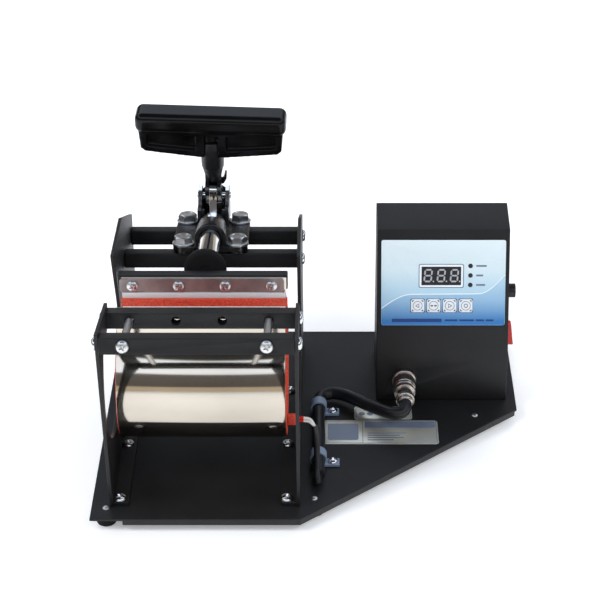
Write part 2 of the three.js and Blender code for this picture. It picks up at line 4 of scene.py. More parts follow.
import bmesh
import bpy
from bpy.props import FloatProperty, FloatVectorProperty, IntProperty, PointerProperty
from mathutils import Matrix, Vector


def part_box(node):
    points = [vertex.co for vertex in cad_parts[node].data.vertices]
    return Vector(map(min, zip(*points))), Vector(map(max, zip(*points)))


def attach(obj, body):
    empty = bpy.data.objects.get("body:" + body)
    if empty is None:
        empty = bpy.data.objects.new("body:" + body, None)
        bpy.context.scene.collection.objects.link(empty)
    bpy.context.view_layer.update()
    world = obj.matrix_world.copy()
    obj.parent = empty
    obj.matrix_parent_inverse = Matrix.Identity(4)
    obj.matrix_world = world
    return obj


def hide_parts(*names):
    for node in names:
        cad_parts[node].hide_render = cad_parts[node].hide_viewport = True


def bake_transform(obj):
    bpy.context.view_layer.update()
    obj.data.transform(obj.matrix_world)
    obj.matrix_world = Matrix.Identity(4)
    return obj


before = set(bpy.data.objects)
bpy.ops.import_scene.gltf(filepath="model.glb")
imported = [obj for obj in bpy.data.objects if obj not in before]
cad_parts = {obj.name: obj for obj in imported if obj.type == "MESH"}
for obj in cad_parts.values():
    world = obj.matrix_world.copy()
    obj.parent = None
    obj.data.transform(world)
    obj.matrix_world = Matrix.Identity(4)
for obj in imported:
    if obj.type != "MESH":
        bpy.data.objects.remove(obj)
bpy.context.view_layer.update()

bl_info = {
    "name": "Mug Heat Press",
    "version": (1, 0, 0),
    "blender": (4, 5, 0),
    "location": "3D View > Sidebar > Mug Press",
    "description": "Builds the visible pieces and finishes of a bench mug heat press",
    "category": "Object",
}

MM = 0.001
FRONT_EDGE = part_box("base_plate")[0].y
BASE_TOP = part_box("base_plate")[1].z


# ---------------------------------------------------------------- places
def bench(x, y, z):
    """A point in metres, from millimetres measured from the middle of the base, its front edge and its
    top face."""
    return Vector((x * MM, y * MM + FRONT_EDGE, z * MM + BASE_TOP))


def turned(origin, angle):
    """The matrix of a leaning local frame whose origin is a bench point."""
    return Matrix.Translation(bench(*origin)) @ Matrix.Rotation(angle, 4, "X")


RAIL_SLOPE = math.radians(9)
BAR_SLOPE = math.radians(11)
CLAMP = turned((-79, 177, 124), -RAIL_SLOPE)
FRONT_BAR = turned((0, -10, 160), -BAR_SLOPE)
ANCHOR_BAR = turned((0, 41.5, 150), -BAR_SLOPE)
PANEL_TILT = math.atan2(30, 95.6)
PANEL = turned((102.35, 160, 42.6), -PANEL_TILT)
PIVOT = CLAMP @ Matrix.Translation(Vector((0, 70, 25)) * MM) @ Matrix.Rotation(math.radians(19), 4, "X")
FLAT = turned((0, 0, 0), 0)
TENSION_X = {"left": -129, "right": -30}
HEAD_CLEARANCE = 0.15  # from the underside of a tension bolt head to the bar


def local(matrix, x, y, z):
    """A point in metres, from millimetres in a leaning local frame."""
    return matrix @ (Vector((x, y, z)) * MM)


# ---------------------------------------------------------------- settings
class PressSizes(bpy.types.PropertyGroup):
    """Sizes that set how fine the visible pieces are."""

    edge: FloatProperty(name="Edge Break", description="Width of the broken edge on cut sheet and bar",
                        default=0.0004, min=0.00005, max=0.002, unit="LENGTH", precision=5)
    round_steps: IntProperty(name="Round Steps", description="Sides of a full round on turned parts",
                             default=72, min=24, max=192)
    screw_head: FloatProperty(name="Screw Head", description="Diameter of the pan head screws",
                              default=0.0096, min=0.004, max=0.015, unit="LENGTH", precision=4)
    washer: FloatProperty(name="Washer", description="Diameter of the washers under the hex bolts",
                          default=0.0172, min=0.01, max=0.03, unit="LENGTH", precision=4)


class PressFinishes(bpy.types.PropertyGroup):
    """Colours of the finishes."""

    coat: FloatVectorProperty(name="Powder Coat", description="Black powder coat of the sheet parts",
                              subtype="COLOR", size=4, default=(0.011, 0.011, 0.0115, 1), min=0, max=1)
    steel: FloatVectorProperty(name="Stainless", description="Polished stainless sheet",
                               subtype="COLOR", size=4, default=(0.66, 0.595, 0.505, 1), min=0, max=1)
    silicone: FloatVectorProperty(name="Silicone", description="Red silicone heater",
                                  subtype="COLOR", size=4, default=(0.56, 0.06, 0.028, 1), min=0, max=1)
    film_top: FloatVectorProperty(name="Film Top", description="Panel film at its upper edge",
                                  subtype="COLOR", size=4, default=(0.75, 0.85, 0.88, 1), min=0, max=1)
    film_bottom: FloatVectorProperty(name="Film Bottom", description="Panel film at its lower edge",
                                     subtype="COLOR", size=4, default=(0.03, 0.18, 0.5, 1), min=0, max=1)


class PressStage(bpy.types.PropertyGroup):
    """The camera and the floor."""

    lens: FloatProperty(name="Lens", description="Focal length", default=120.03, min=20, max=300)
    pitch: FloatProperty(name="Pitch", description="How far the camera looks down", default=math.radians(30),
                         subtype="ANGLE")
    distance: FloatProperty(name="Distance",
                            description="From the base's front edge to the camera, along the floor",
                            default=1.1836, unit="LENGTH", precision=4)
    height: FloatProperty(name="Height", description="From the base's top face up to the camera",
                          default=0.868, unit="LENGTH", precision=4)
    aside: FloatProperty(name="Aside", description="From the middle of the base to the camera",
                         default=0.0115, unit="LENGTH", precision=4)
    shift: FloatProperty(name="Shift", description="Sideways lens shift", default=-0.045, precision=4)


def sizes():
    return bpy.context.scene.press_sizes


def finishes():
    return bpy.context.scene.press_finishes


# ---------------------------------------------------------------- shader building
class Look:
    """A material and the few nodes that most finishes share."""

    def __init__(self, name, colour=(0.5, 0.5, 0.5, 1), rough=0.5, metal=0.0, **values):
        self.material = bpy.data.materials.new(name)
        self.material.use_nodes = True
        self.tree = self.material.node_tree
        self.shader = self.tree.nodes["Principled BSDF"]
        self.shader.inputs["Base Color"].default_value = colour
        self.shader.inputs["Roughness"].default_value = rough
        self.shader.inputs["Metallic"].default_value = metal
        for key, value in values.items():
            self.shader.inputs[key.replace("_", " ")].default_value = value

    def node(self, kind, **settings):
        node = self.tree.nodes.new(kind)
        for key, value in settings.items():
            if key in node.inputs.keys():
                node.inputs[key].default_value = value
            else:
                setattr(node, key, value)
        return node

    def link(self, out, to):
        self.tree.links.new(out, to)

    def place(self, scale=(1, 1, 1)):
        """Object coordinates, stretched by a scale."""
        coordinates = self.node("ShaderNodeTexCoord")
        mapping = self.node("ShaderNodeMapping")
        mapping.inputs["Scale"].default_value = scale
        self.link(coordinates.outputs["Object"], mapping.inputs["Vector"])
        return mapping.outputs["Vector"]

    def noise(self, scale, detail=2.0, stretch=(1, 1, 1)):
        noise = self.node("ShaderNodeTexNoise")
        noise.inputs["Scale"].default_value = scale
        noise.inputs["Detail"].default_value = detail
        self.link(self.place(stretch), noise.inputs["Vector"])
        return noise.outputs["Fac"]

    def ramp(self, source, stops):
        ramp = self.node("ShaderNodeValToRGB")
        elements = ramp.color_ramp.elements
        while len(elements) < len(stops):
            elements.new(0.5)
        for element, (position, colour) in zip(elements, stops):
            element.position = position
            element.color = colour
        self.link(source, ramp.inputs["Fac"])
        return ramp.outputs["Color"]

    def spread(self, source, low, high, from_low=0.3, from_high=0.7):
        """The source moved from one range to another."""
        mapped = self.node("ShaderNodeMapRange")
        mapped.inputs["From Min"].default_value = from_low
        mapped.inputs["From Max"].default_value = from_high
        mapped.inputs["To Min"].default_value = low
        mapped.inputs["To Max"].default_value = high
        self.link(source, mapped.inputs["Value"])
        return mapped.outputs["Result"]

    def rough_from(self, source, low, high):
        self.link(self.spread(source, low, high), self.shader.inputs["Roughness"])

    def colour_from(self, source, stops):
        self.link(self.ramp(source, stops), self.shader.inputs["Base Color"])

    def bump(self, source, strength, distance):
        bump = self.node("ShaderNodeBump")
        bump.inputs["Strength"].default_value = strength
        bump.inputs["Distance"].default_value = distance
        self.link(source, bump.inputs["Height"])
        self.link(bump.outputs["Normal"], self.shader.inputs["Normal"])


def scaled(colour, factor):
    return tuple(min(1.0, c * factor) for c in colour[:3]) + (1.0,)


def powder_coat():
    base = tuple(finishes().coat)
    look = Look("powder coat", base, 0.5, 0.0, Specular_IOR_Level=0.36)
    grain = look.noise(2100, 3)
    cloud = look.noise(38, 4)
    look.colour_from(cloud, [(0.3, scaled(base, 0.84)), (0.7, scaled(base, 1.18))])
    look.rough_from(grain, 0.42, 0.6)
    look.bump(grain, 0.32, 0.00012)
    return look.material


def plated(name, colour, rough_low, rough_high, grain_scale=260, bump=0.03):
    """A bright plated finish with faint handling marks."""
    look = Look(name, colour, rough_low, 1.0)
    marks = look.noise(grain_scale, 5)
    look.rough_from(marks, rough_low, rough_high)
    cloud = look.noise(70, 3)
    look.colour_from(cloud, [(0.3, scaled(colour, 0.93)), (0.7, scaled(colour, 1.04))])
    look.bump(marks, bump, 0.00005)
    return look.material


def stainless_sheet():
    base = tuple(finishes().steel)
    look = Look("polished stainless", base, 0.14, 1.0)
    streaks = look.noise(1.0, 4, (6, 1500, 1500))
    smudge = look.noise(26, 4, (0.5, 1, 1))
    look.rough_from(streaks, 0.06, 0.13)
    look.colour_from(smudge, [(0.3, scaled(base, 0.9)), (0.62, scaled(base, 1.06)), (0.8, scaled(base,
        0.98))])
    look.bump(streaks, 0.05, 0.00004)
    return look.material


def brushed_strip():
    base = (0.34, 0.31, 0.3, 1)
    look = Look("brushed strip", base, 0.4, 0.7)
    streaks = look.noise(1.0, 5, (14, 2200, 2200))
    stain = look.noise(60, 3)
    look.colour_from(stain, [(0.3, scaled(base, 0.75)), (0.7, scaled(base, 1.3))])
    look.rough_from(streaks, 0.32, 0.5)
    look.bump(streaks, 0.12, 0.00005)
    return look.material


def silicone():
    base = tuple(finishes().silicone)
    look = Look("red silicone", base, 0.62, 0.0)
    speckle = look.noise(620, 6)
    look.colour_from(speckle, [(0.32, scaled(base, 0.66)), (0.5, base), (0.68, scaled(base, 1.45))])
    look.rough_from(speckle, 0.5, 0.75)
    look.bump(speckle, 0.3, 0.00018)
    return look.material


def rubber(name="black rubber", tone=0.006):
    look = Look(name, (tone, tone, tone, 1), 0.7, 0.0, Specular_IOR_Level=0.25)
    grain = look.noise(900, 4)
    look.colour_from(grain, [(0.3, (tone * 0.8,) * 3 + (1,)), (0.7, (tone * 1.5,) * 3 + (1,))])
    look.rough_from(grain, 0.6, 0.85)
    look.bump(grain, 0.22, 0.0001)
    return look.material


def moulded(name, colour, low, high, texture=700, bump=0.05, shine=0.5):
    """Moulded plastic: an even colour with a little flow in its gloss."""
    look = Look(name, colour, low, 0.0, Specular_IOR_Level=shine)
    flow = look.noise(45, 3)
    grain = look.noise(texture, 3)
    look.colour_from(flow, [(0.3, scaled(colour, 0.9)), (0.7, scaled(colour, 1.12))])
    look.rough_from(flow, low, high)
    look.bump(grain, bump, 0.00005)
    return look.material


def film(name, low_t, high_t, stops):
    """Printed film whose colour runs up the tilted panel, between two heights measured along it in
    millimetres."""
    look = Look(name, (0.3, 0.5, 0.8, 1), 0.28, 0.0)
    coordinates = look.node("ShaderNodeTexCoord")
    along = look.node("ShaderNodeVectorMath", operation="DOT_PRODUCT")
    direction = PANEL.to_3x3() @ Vector((0, 0, 1))
    along.inputs[1].default_value = direction
    look.link(coordinates.outputs["Object"], along.inputs[0])
    start = PANEL.translation.dot(direction)
    share = look.spread(along.outputs["Value"], 0, 1, start + low_t * MM, start + high_t * MM)
    look.colour_from(share, stops)
    grain = look.noise(2600, 2)
    look.rough_from(grain, 0.24, 0.34)
    look.bump(grain, 0.06, 0.00003)
    return look.material


def ink(name, colour, rough=0.4):
    """Flat printing ink with a trace of screen texture."""
    look = Look(name, colour, rough, 0.0)
    grain = look.noise(1800, 2)
    look.colour_from(grain, [(0.3, scaled(colour, 0.94)), (0.7, scaled(colour, 1.05))])
    look.rough_from(grain, rough - 0.06, rough + 0.08)
    return look.material


def smoked_window():
    look = Look("smoked window", (0.012, 0.014, 0.02, 1), 0.12, 0.0)
    haze = look.noise(160, 3)
    look.rough_from(haze, 0.08, 0.2)
    look.colour_from(haze, [(0.3, (0.012, 0.014, 0.02, 1)), (0.7, (0.02, 0.024, 0.034, 1))])
    return look.material


def label_metal():
    look = Look("label metal", (0.82, 0.82, 0.72, 1), 0.4, 0.7)
    streaks = look.noise(1.0, 4, (30, 1600, 1600))
    look.rough_from(streaks, 0.3, 0.46)
    look.bump(streaks, 0.08, 0.00003)
    return look.material


def board_green():
    look = Look("board varnish", (0.012, 0.13, 0.05, 1), 0.35, 0.0)
    tracks = look.node("ShaderNodeTexVoronoi", feature="DISTANCE_TO_EDGE")
    tracks.inputs["Scale"].default_value = 260
    look.link(look.place(), tracks.inputs["Vector"])
    look.colour_from(tracks.outputs["Distance"], [(0.03, (0.02, 0.22, 0.08, 1)), (0.06, (0.01, 0.11, 0.04,
        1))])
    return look.material


RECIPES = {
    "coat": powder_coat,
    "chrome": lambda: plated("bright chrome", (0.84, 0.85, 0.86, 1), 0.06, 0.16),
    "zinc": lambda: plated("zinc plate", (0.8, 0.8, 0.8, 1), 0.3, 0.42, 420, 0.08),
    "pressing": lambda: plated("dark pressing", (0.09, 0.09, 0.095, 1), 0.24, 0.4, 300, 0.1),
    "nickel": lambda: plated("nickel plate", (0.62, 0.56, 0.51, 1), 0.26, 0.38, 500, 0.06),
    "brass": lambda: plated("brass", (0.62, 0.44, 0.18, 1), 0.2, 0.34),
    "steel": stainless_sheet,
    "strip": brushed_strip,
    "silicone": silicone,
    "rubber": rubber,
    "lead": lambda: moulded("lead sleeve", (0.008, 0.008, 0.009, 1), 0.34, 0.5, 1200, 0.12),
    "gloss": lambda: moulded("gloss black", (0.0035, 0.0035, 0.0038, 1), 0.13, 0.24, shine=0.26),
    "satin": lambda: moulded("satin black", (0.01, 0.01, 0.011, 1), 0.34, 0.46),
    "red": lambda: moulded("switch red", (0.55, 0.018, 0.012, 1), 0.18, 0.3),
    "clip": lambda: moulded("clip grey", (0.2, 0.255, 0.35, 1), 0.34, 0.5, 900, 0.1),
    "key": lambda: ink("key white", (0.78, 0.82, 0.86, 1), 0.36),
    "board": board_green,
    "window": smoked_window,
    "digit": lambda: ink("digit grey", (0.42, 0.43, 0.45, 1), 0.5),
    "band": lambda: ink("pale band", (0.62, 0.62, 0.62, 1), 0.5),
    "white ink": lambda: ink("white ink", (0.86, 0.92, 0.96, 1)),
    "navy ink": lambda: ink("navy ink", (0.01, 0.045, 0.2, 1)),
    "black ink": lambda: ink("black ink", (0.015, 0.015, 0.016, 1)),
    "grey ink": lambda: ink("grey ink", (0.16, 0.2, 0.27, 1)),
    "key ink": lambda: ink("key ink", (0.05, 0.06, 0.08, 1)),
    "label": label_metal,
    "white wire": lambda: moulded("white wire", (0.75, 0.73, 0.7, 1), 0.4, 0.55),
    "film high": lambda: film("film above the line", 36, 92, [
        (0.0, (0.32, 0.54, 0.74, 1)), (0.25, (0.46, 0.67, 0.8, 1)), (0.57, (0.66, 0.8, 0.85, 1)), (1.0,
        tuple(finishes().film_top))]),
    "film low": lambda: film("film below the line", 24, 60, [
        (0.0, tuple(finishes().film_bottom)), (0.1, (0.035, 0.19, 0.46, 1)), (0.55, (0.29, 0.49, 0.69, 1)),
        (1.0, (0.45, 0.66, 0.78, 1))]),
}
LOOKS = {}


def look_of(name):
    if name not in LOOKS:
        LOOKS[name] = RECIPES[name]()
    return LOOKS[name]


# ---------------------------------------------------------------- mesh building
def new_object(name, bm, matrix=None):
    """An object from a bmesh, with its place in its mesh."""
    if matrix is not None:
        bm.transform(matrix)
    bmesh.ops.recalc_face_normals(bm, faces=bm.faces)
    mesh = bpy.data.meshes.new(name)
    bm.to_mesh(mesh)
    bm.free()
    obj = bpy.data.objects.new(name, mesh)
    bpy.context.scene.collection.objects.link(obj)
    return obj


def dress(obj, body, look, nodes=(), smooth=25):
    """Gives a finished piece its shading, finish, body and the nodes that it stands for."""
    obj.data.materials.clear()
    obj.data.materials.append(look_of(look))
    obj.data.polygons.foreach_set("material_index", [0] * len(obj.data.polygons))
    obj.data.shade_smooth()
    obj.data.set_sharp_from_angle(angle=math.radians(smooth))
    if body:
        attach(obj, body)
    if nodes:
        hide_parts(*nodes)
    return obj


def plain_mesh(obj):
    """Turns the evaluated object into a plain mesh and drops its modifiers."""
    graph = bpy.context.evaluated_depsgraph_get()
    mesh = bpy.data.meshes.new_from_object(obj.evaluated_get(graph))
    obj.modifiers.clear()
    obj.data = mesh
    return obj


def merged_copy(node, name):
    """A copy of a frame node with its triangles merged and its flat faces whole."""
    bm = bmesh.new()
    bm.from_mesh(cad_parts[node].data)
    bmesh.ops.remove_doubles(bm, verts=bm.verts, dist=2e-6)
    bmesh.ops.dissolve_limit(bm, angle_limit=math.radians(0.8), verts=bm.verts, edges=bm.edges)
    mesh = bpy.data.meshes.new(name)
    bm.to_mesh(mesh)
    bm.free()
    obj = bpy.data.objects.new(name, mesh)
    bpy.context.scene.collection.objects.link(obj)
    return obj


def softened(node, look, body="root", width=None, steps=2, name=None, smooth=25, angle=30):
    """A frame node with broken edges, standing for that node."""
    obj = merged_copy(node, name or node + "_fine")
    bevel = obj.modifiers.new("edges", "BEVEL")
    bevel.width = width or sizes().edge
    bevel.segments = steps
    bevel.limit_method = "ANGLE"
    bevel.angle_limit = math.radians(angle)
    bevel.use_clamp_overlap = True
    plain_mesh(obj)
    return dress(obj, body, look, [node], smooth)


def remeshed(obj, voxel, rounds, factor=0.5):
    """A soft moulded form of an object, from a voxel remesh and a few rounds of smoothing."""
    remesh = obj.modifiers.new("remesh", "REMESH")
    remesh.mode = "VOXEL"
    remesh.voxel_size = voxel * MM
    smooth = obj.modifiers.new("smooth", "SMOOTH")
    smooth.factor = factor
    smooth.iterations = rounds
    return plain_mesh(obj)


def combined(target, tools, operation):
    """Joins, cuts or intersects plain meshes, and removes the tools."""
    for tool in tools:
        modifier = target.modifiers.new("combine", "BOOLEAN")
        modifier.operation = operation
        modifier.solver = "EXACT"
        modifier.object = tool
    bpy.context.view_layer.update()
    plain_mesh(target)
    for tool in tools:
        bpy.data.objects.remove(tool)
    return target


def turned_bmesh(profile, steps=None):
    """A solid of revolution about z from (radius, height) pairs in millimetres. An end on the axis is
    closed there."""
    steps = steps or sizes().round_steps
    bm = bmesh.new()
    rings = []
    for radius, height in profile:
        if radius < 1e-6:
            rings.append([bm.verts.new((0, 0, height * MM))])
        else:
            rings.append([bm.verts.new((radius * MM * math.cos(2 * math.pi * i / steps),
                                        radius * MM * math.sin(2 * math.pi * i / steps), height * MM))
                          for i in range(steps)])
    closed = profile[0][0] > 1e-6
    pairs = list(zip(rings, rings[1:] + (rings[:1] if closed else [])))
    if not closed:
        pairs = pairs[:len(rings) - 1]
    for low, high in pairs:
        for i in range(steps):
            j = (i + 1) % steps
            corners = [low[i % len(low)], low[j % len(low)], high[j % len(high)], high[i % len(high)]]
            unique = list(dict.fromkeys(corners))
            if len(unique) > 2:
                bm.faces.new(unique)
    return bm


def arc_profile(points, radius, steps=4):
    """A profile whose corners named with a radius are rounded: points are (r, z) or (r, z, corner radius)."""
    result = []
    count = len(points)
    for index, point in enumerate(points):
        corner = point[2] if len(point) > 2 else radius
        if index in (0, count - 1) or corner <= 0:
            result.append((point[0], point[1]))
            continue
        here = Vector(point[:2])
        before = (Vector(points[index - 1][:2]) - here)
        after = (Vector(points[index + 1][:2]) - here)
        reach = min(corner, before.length * 0.48, after.length * 0.48)
        a = here + before.normalized() * reach
        b = here + after.normalized() * reach
        for step in range(steps + 1):
            t = step / steps
            result.append(tuple(a * (1 - t) ** 2 + here * 2 * t * (1 - t) + b * t * t))
    return result


def turned_piece(name, profile, matrix, radius=0.3, steps=None):
    """A rounded turned part whose axis is the local z of a matrix."""
    return new_object(name, turned_bmesh(arc_profile(profile, radius), steps), matrix)


def rounded_outline(x0, x1, z0, z1, radius, steps=6):
    points = []
    for cx, cz, start in ((x1 - radius, z0 + radius, -90), (x1 - radius, z1 - radius, 0),
                          (x0 + radius, z1 - radius, 90), (x0 + radius, z0 + radius, 180)):
        for step in range(steps + 1):
            a = math.radians(start + 90 * step / steps)
            points.append((cx + radius * math.cos(a), cz + radius * math.sin(a)))
    return points


def prism_bmesh(points, low, high):
    """A closed prism: an outline of (a, b) in millimetres lies in local x and z, and it runs along
    local y."""
    bm = bmesh.new()
    front = [bm.verts.new((a * MM, low * MM, b * MM)) for a, b in points]
    back = [bm.verts.new((a * MM, high * MM, b * MM)) for a, b in points]
    bm.faces.new(front)
    bm.faces.new(back[::-1])
    count = len(points)
    for i in range(count):
        j = (i + 1) % count
        bm.faces.new([front[i], back[i], back[j], front[j]])
    return bm


def prism(name, points, low, high, matrix=FLAT, edge=0.0, steps=2):
    """A prism with its edges broken by a bevel."""
    obj = new_object(name, prism_bmesh(points, low, high), matrix)
    if edge > 0:
        bevel = obj.modifiers.new("edges", "BEVEL")
        bevel.width = edge * MM
        bevel.segments = steps
        bevel.limit_method = "ANGLE"
        bevel.angle_limit = math.radians(40)
        plain_mesh(obj)
    return obj


ALONG_X = Matrix(((0, 1, 0, 0), (1, 0, 0, 0), (0, 0, 1, 0), (0, 0, 0, 1)))  # outline (y, z), run along x


def flat_print(name, points, matrix, thick=0.08, lift=0.0):
    """A thin printed or stuck shape, drawn in local x and z, standing forward of local y = 0."""
    return new_object(name, prism_bmesh(points, -lift - thick, -lift), matrix)


def joined(name, objects):
    """One object from several, left in their order."""
    bm = bmesh.new()
    for obj in objects:
        bm.from_mesh(obj.data)
        bpy.data.objects.remove(obj)
    mesh = bpy.data.meshes.new(name)
    bm.to_mesh(mesh)
    bm.free()
    obj = bpy.data.objects.new(name, mesh)
    bpy.context.scene.collection.objects.link(obj)
    return obj


def smooth_route(points, per_span):
    """Points along a centripetal curve through given points."""
    route = [Vector(p) for p in points]
    full = [route[0] * 2 - route[1]] + route + [route[-1] * 2 - route[-2]]
    result = []
    for i in range(1, len(full) - 2):
        p0, p1, p2, p3 = full[i - 1:i + 3]
        t0 = 0.0
        t1 = t0 + (p1 - p0).length ** 0.5
        t2 = t1 + (p2 - p1).length ** 0.5
        t3 = t2 + (p3 - p2).length ** 0.5
        for step in range(per_span):
            t = t1 + (t2 - t1) * step / per_span
            a1 = p0 * ((t1 - t) / (t1 - t0)) + p1 * ((t - t0) / (t1 - t0))
            a2 = p1 * ((t2 - t) / (t2 - t1)) + p2 * ((t - t1) / (t2 - t1))
            a3 = p2 * ((t3 - t) / (t3 - t2)) + p3 * ((t - t2) / (t3 - t2))
            b1 = a1 * ((t2 - t) / (t2 - t0)) + a2 * ((t - t0) / (t2 - t0))
            b2 = a2 * ((t3 - t) / (t3 - t1)) + a3 * ((t - t1) / (t3 - t1))
            result.append(b1 * ((t2 - t) / (t2 - t1)) + b2 * ((t - t1) / (t2 - t1)))
    return result + [route[-1]]


def tube(name, points, radius, sides=28, per_span=8, ripple=0.0):
    """A closed round tube along bench points, in millimetres."""
    centres = [bench(*p) for p in smooth_route(points, per_span)]
    bm = bmesh.new()
    normal = Vector((0, 0, 1))
    rings = []
    for i, centre in enumerate(centres):
        ahead = centres[min(i + 1, len(centres) - 1)] - centres[max(i - 1, 0)]
        tangent = ahead.normalized()
        normal = (normal - tangent * normal.dot(tangent)).normalized()
        side = tangent.cross(normal)
        r = (radius + ripple * math.sin(i * 2.1)) * MM
        rings.append([bm.verts.new(centre + (normal * math.cos(a) + side * math.sin(a)) * r)
                      for a in (2 * math.pi * k / sides for k in range(sides))])
    for low, high in zip(rings, rings[1:]):
        for k in range(sides):
            m = (k + 1) % sides
            bm.faces.new([low[k], low[m], high[m], high[k]])
    bm.faces.new(rings[0][::-1])
    bm.faces.new(rings[-1])
    return new_object(name, bm)


# ---------------------------------------------------------------- scattered fasteners
def scatter_tree():
    """Geometry nodes that set one fastener on each point, standing along the point's direction."""
    tree = bpy.data.node_groups.new("Set Fasteners", "GeometryNodeTree")
    interface = tree.interface
    interface.new_socket("Geometry", in_out="INPUT", socket_type="NodeSocketGeometry")
    interface.new_socket("Fastener", in_out="INPUT", socket_type="NodeSocketObject")
    interface.new_socket("Size", in_out="INPUT", socket_type="NodeSocketFloat")
    interface.new_socket("Finish", in_out="INPUT", socket_type="NodeSocketMaterial")
    interface.new_socket("Geometry", in_out="OUTPUT", socket_type="NodeSocketGeometry")
    nodes, links = tree.nodes, tree.links
    start = nodes.new("NodeGroupInput")
    end = nodes.new("NodeGroupOutput")
    direction = nodes.new("GeometryNodeInputNamedAttribute")
    direction.data_type = "FLOAT_VECTOR"
    direction.inputs["Name"].default_value = "stands_along"
    spin = nodes.new("GeometryNodeInputNamedAttribute")
    spin.data_type = "FLOAT"
    spin.inputs["Name"].default_value = "spin"
    align = nodes.new("FunctionNodeAlignRotationToVector")
    align.axis = "Z"
    twist = nodes.new("FunctionNodeAxisAngleToRotation")
    twist.inputs["Axis"].default_value = (0, 0, 1)
    turn = nodes.new("FunctionNodeRotateRotation")
    turn.rotation_space = "LOCAL"
    info = nodes.new("GeometryNodeObjectInfo")
    instance = nodes.new("GeometryNodeInstanceOnPoints")
    realize = nodes.new("GeometryNodeRealizeInstances")
    material = nodes.new("GeometryNodeSetMaterial")
    links.new(start.outputs["Geometry"], instance.inputs["Points"])
    links.new(start.outputs["Fastener"], info.inputs["Object"])
    links.new(info.outputs["Geometry"], instance.inputs["Instance"])
    links.new(direction.outputs["Attribute"], align.inputs["Vector"])
    links.new(spin.outputs["Attribute"], twist.inputs["Angle"])
    links.new(align.outputs["Rotation"], turn.inputs["Rotation"])
    links.new(twist.outputs["Rotation"], turn.inputs["Rotate By"])
    links.new(turn.outputs["Rotation"], instance.inputs["Rotation"])
    links.new(start.outputs["Size"], instance.inputs["Scale"])
    links.new(instance.outputs["Instances"], realize.inputs["Geometry"])
    links.new(realize.outputs["Geometry"], material.inputs["Geometry"])
    links.new(start.outputs["Finish"], material.inputs["Material"])
    links.new(material.outputs["Geometry"], end.inputs["Geometry"])
    return tree


def scatter(name, fastener, places, body, look, nodes=(), size=1.0, smooth=25):
    """Fasteners at (point, direction, spin in degrees) places, as one plain mesh on one body."""
    tree = bpy.data.node_groups.get("Set Fasteners") or scatter_tree()
    mesh = bpy.data.meshes.new(name + "_points")
    mesh.from_pydata([tuple(p[0]) for p in places], [], [])
    mesh.attributes.new("stands_along", "FLOAT_VECTOR", "POINT")
    mesh.attributes.new("spin", "FLOAT", "POINT")
    for i, (_, direction, spin) in enumerate(places):
        mesh.attributes["stands_along"].data[i].vector = Vector(direction).normalized()
        mesh.attributes["spin"].data[i].value = math.radians(spin)
    obj = bpy.data.objects.new(name, mesh)
    bpy.context.scene.collection.objects.link(obj)
    modifier = obj.modifiers.new("fasteners", "NODES")
    modifier.node_group = tree
    values = {"Fastener": fastener, "Size": size, "Finish": look_of(look)}
    for item in tree.interface.items_tree:
        if item.item_type == "SOCKET" and item.in_out == "INPUT" and item.name in values:
            modifier[item.identifier] = values[item.name]
    bpy.context.view_layer.update()
    plain_mesh(obj)
    return dress(obj, body, look, nodes, smooth)


def cross_recess(depth, span, width):
    """The tool that cuts a cross slot into a screw head whose top is at the given height."""
    arms = []
    for turn in (0, 90):
        points = [(-span / 2, 0), (span / 2, 0), (span / 2 * 0.45, -depth), (-span / 2 * 0.45, -depth)]
        arm = new_object("arm", prism_bmesh(points, -width / 2, width / 2),
                         Matrix.Rotation(math.radians(turn), 4, "Z"))
        arms.append(arm)
    return arms


def pan_screw(name, diameter=9.6, height=3.0):
    """A pan head screw with a cross slot, its seat at z = 0."""
    r = diameter / 2
    profile = [(0, -1.2), (2.2, -1.2), (2.2, 0), (r * 0.97, 0, 0.1), (r, height * 0.32, 0.5), (r * 0.82,
        height * 0.76, 1.6),
               (r * 0.42, height * 0.98, 1.2), (0, height)]
    head = new_object(name, turned_bmesh(arc_profile(profile, 0.2), 40))
    tools = cross_recess(height * 0.62, diameter * 0.56, diameter * 0.13)
    for tool in tools:
        tool.data.transform(Matrix.Translation((0, 0, (height + 0.05) * MM)))
    return combined(head, tools, "DIFFERENCE")


def hex_bolt(name, across=13.0, head=5.4):
    """A hex head with a turned chamfer, its seat at z = 0."""
    corner = across / 2 / math.cos(math.radians(30))
    points = [(corner * math.cos(math.radians(60 * k + 30)),
               corner * math.sin(math.radians(60 * k + 30))) for k in range(6)]
    prism_obj = new_object(name, prism_bmesh(points, 0, head), Matrix.Rotation(math.radians(90), 4, "X"))
    low = min(v.co.z for v in prism_obj.data.vertices)
    prism_obj.data.transform(Matrix.Translation((0, 0, -low)))
    chamfer = turned_bmesh([(0, -0.5), (corner * 1.02, -0.5), (corner * 1.02, head - 1.5),
                            (across / 2 * 0.93, head),
                            (across / 2 * 0.72, head), (across / 2 * 0.64, head - 0.45), (0, head - 0.45)],
                            60)
    return combined(prism_obj, [new_object("chamfer", chamfer)], "INTERSECT")


def discard(*objects):
    for obj in objects:
        bpy.data.objects.remove(obj)


# ---------------------------------------------------------------- operators
class PieceOperator:
    """Shared by the operators that make pieces."""

    bl_options = {"REGISTER", "UNDO"}

    def execute(self, context):
        self.build()
        return {"FINISHED"}


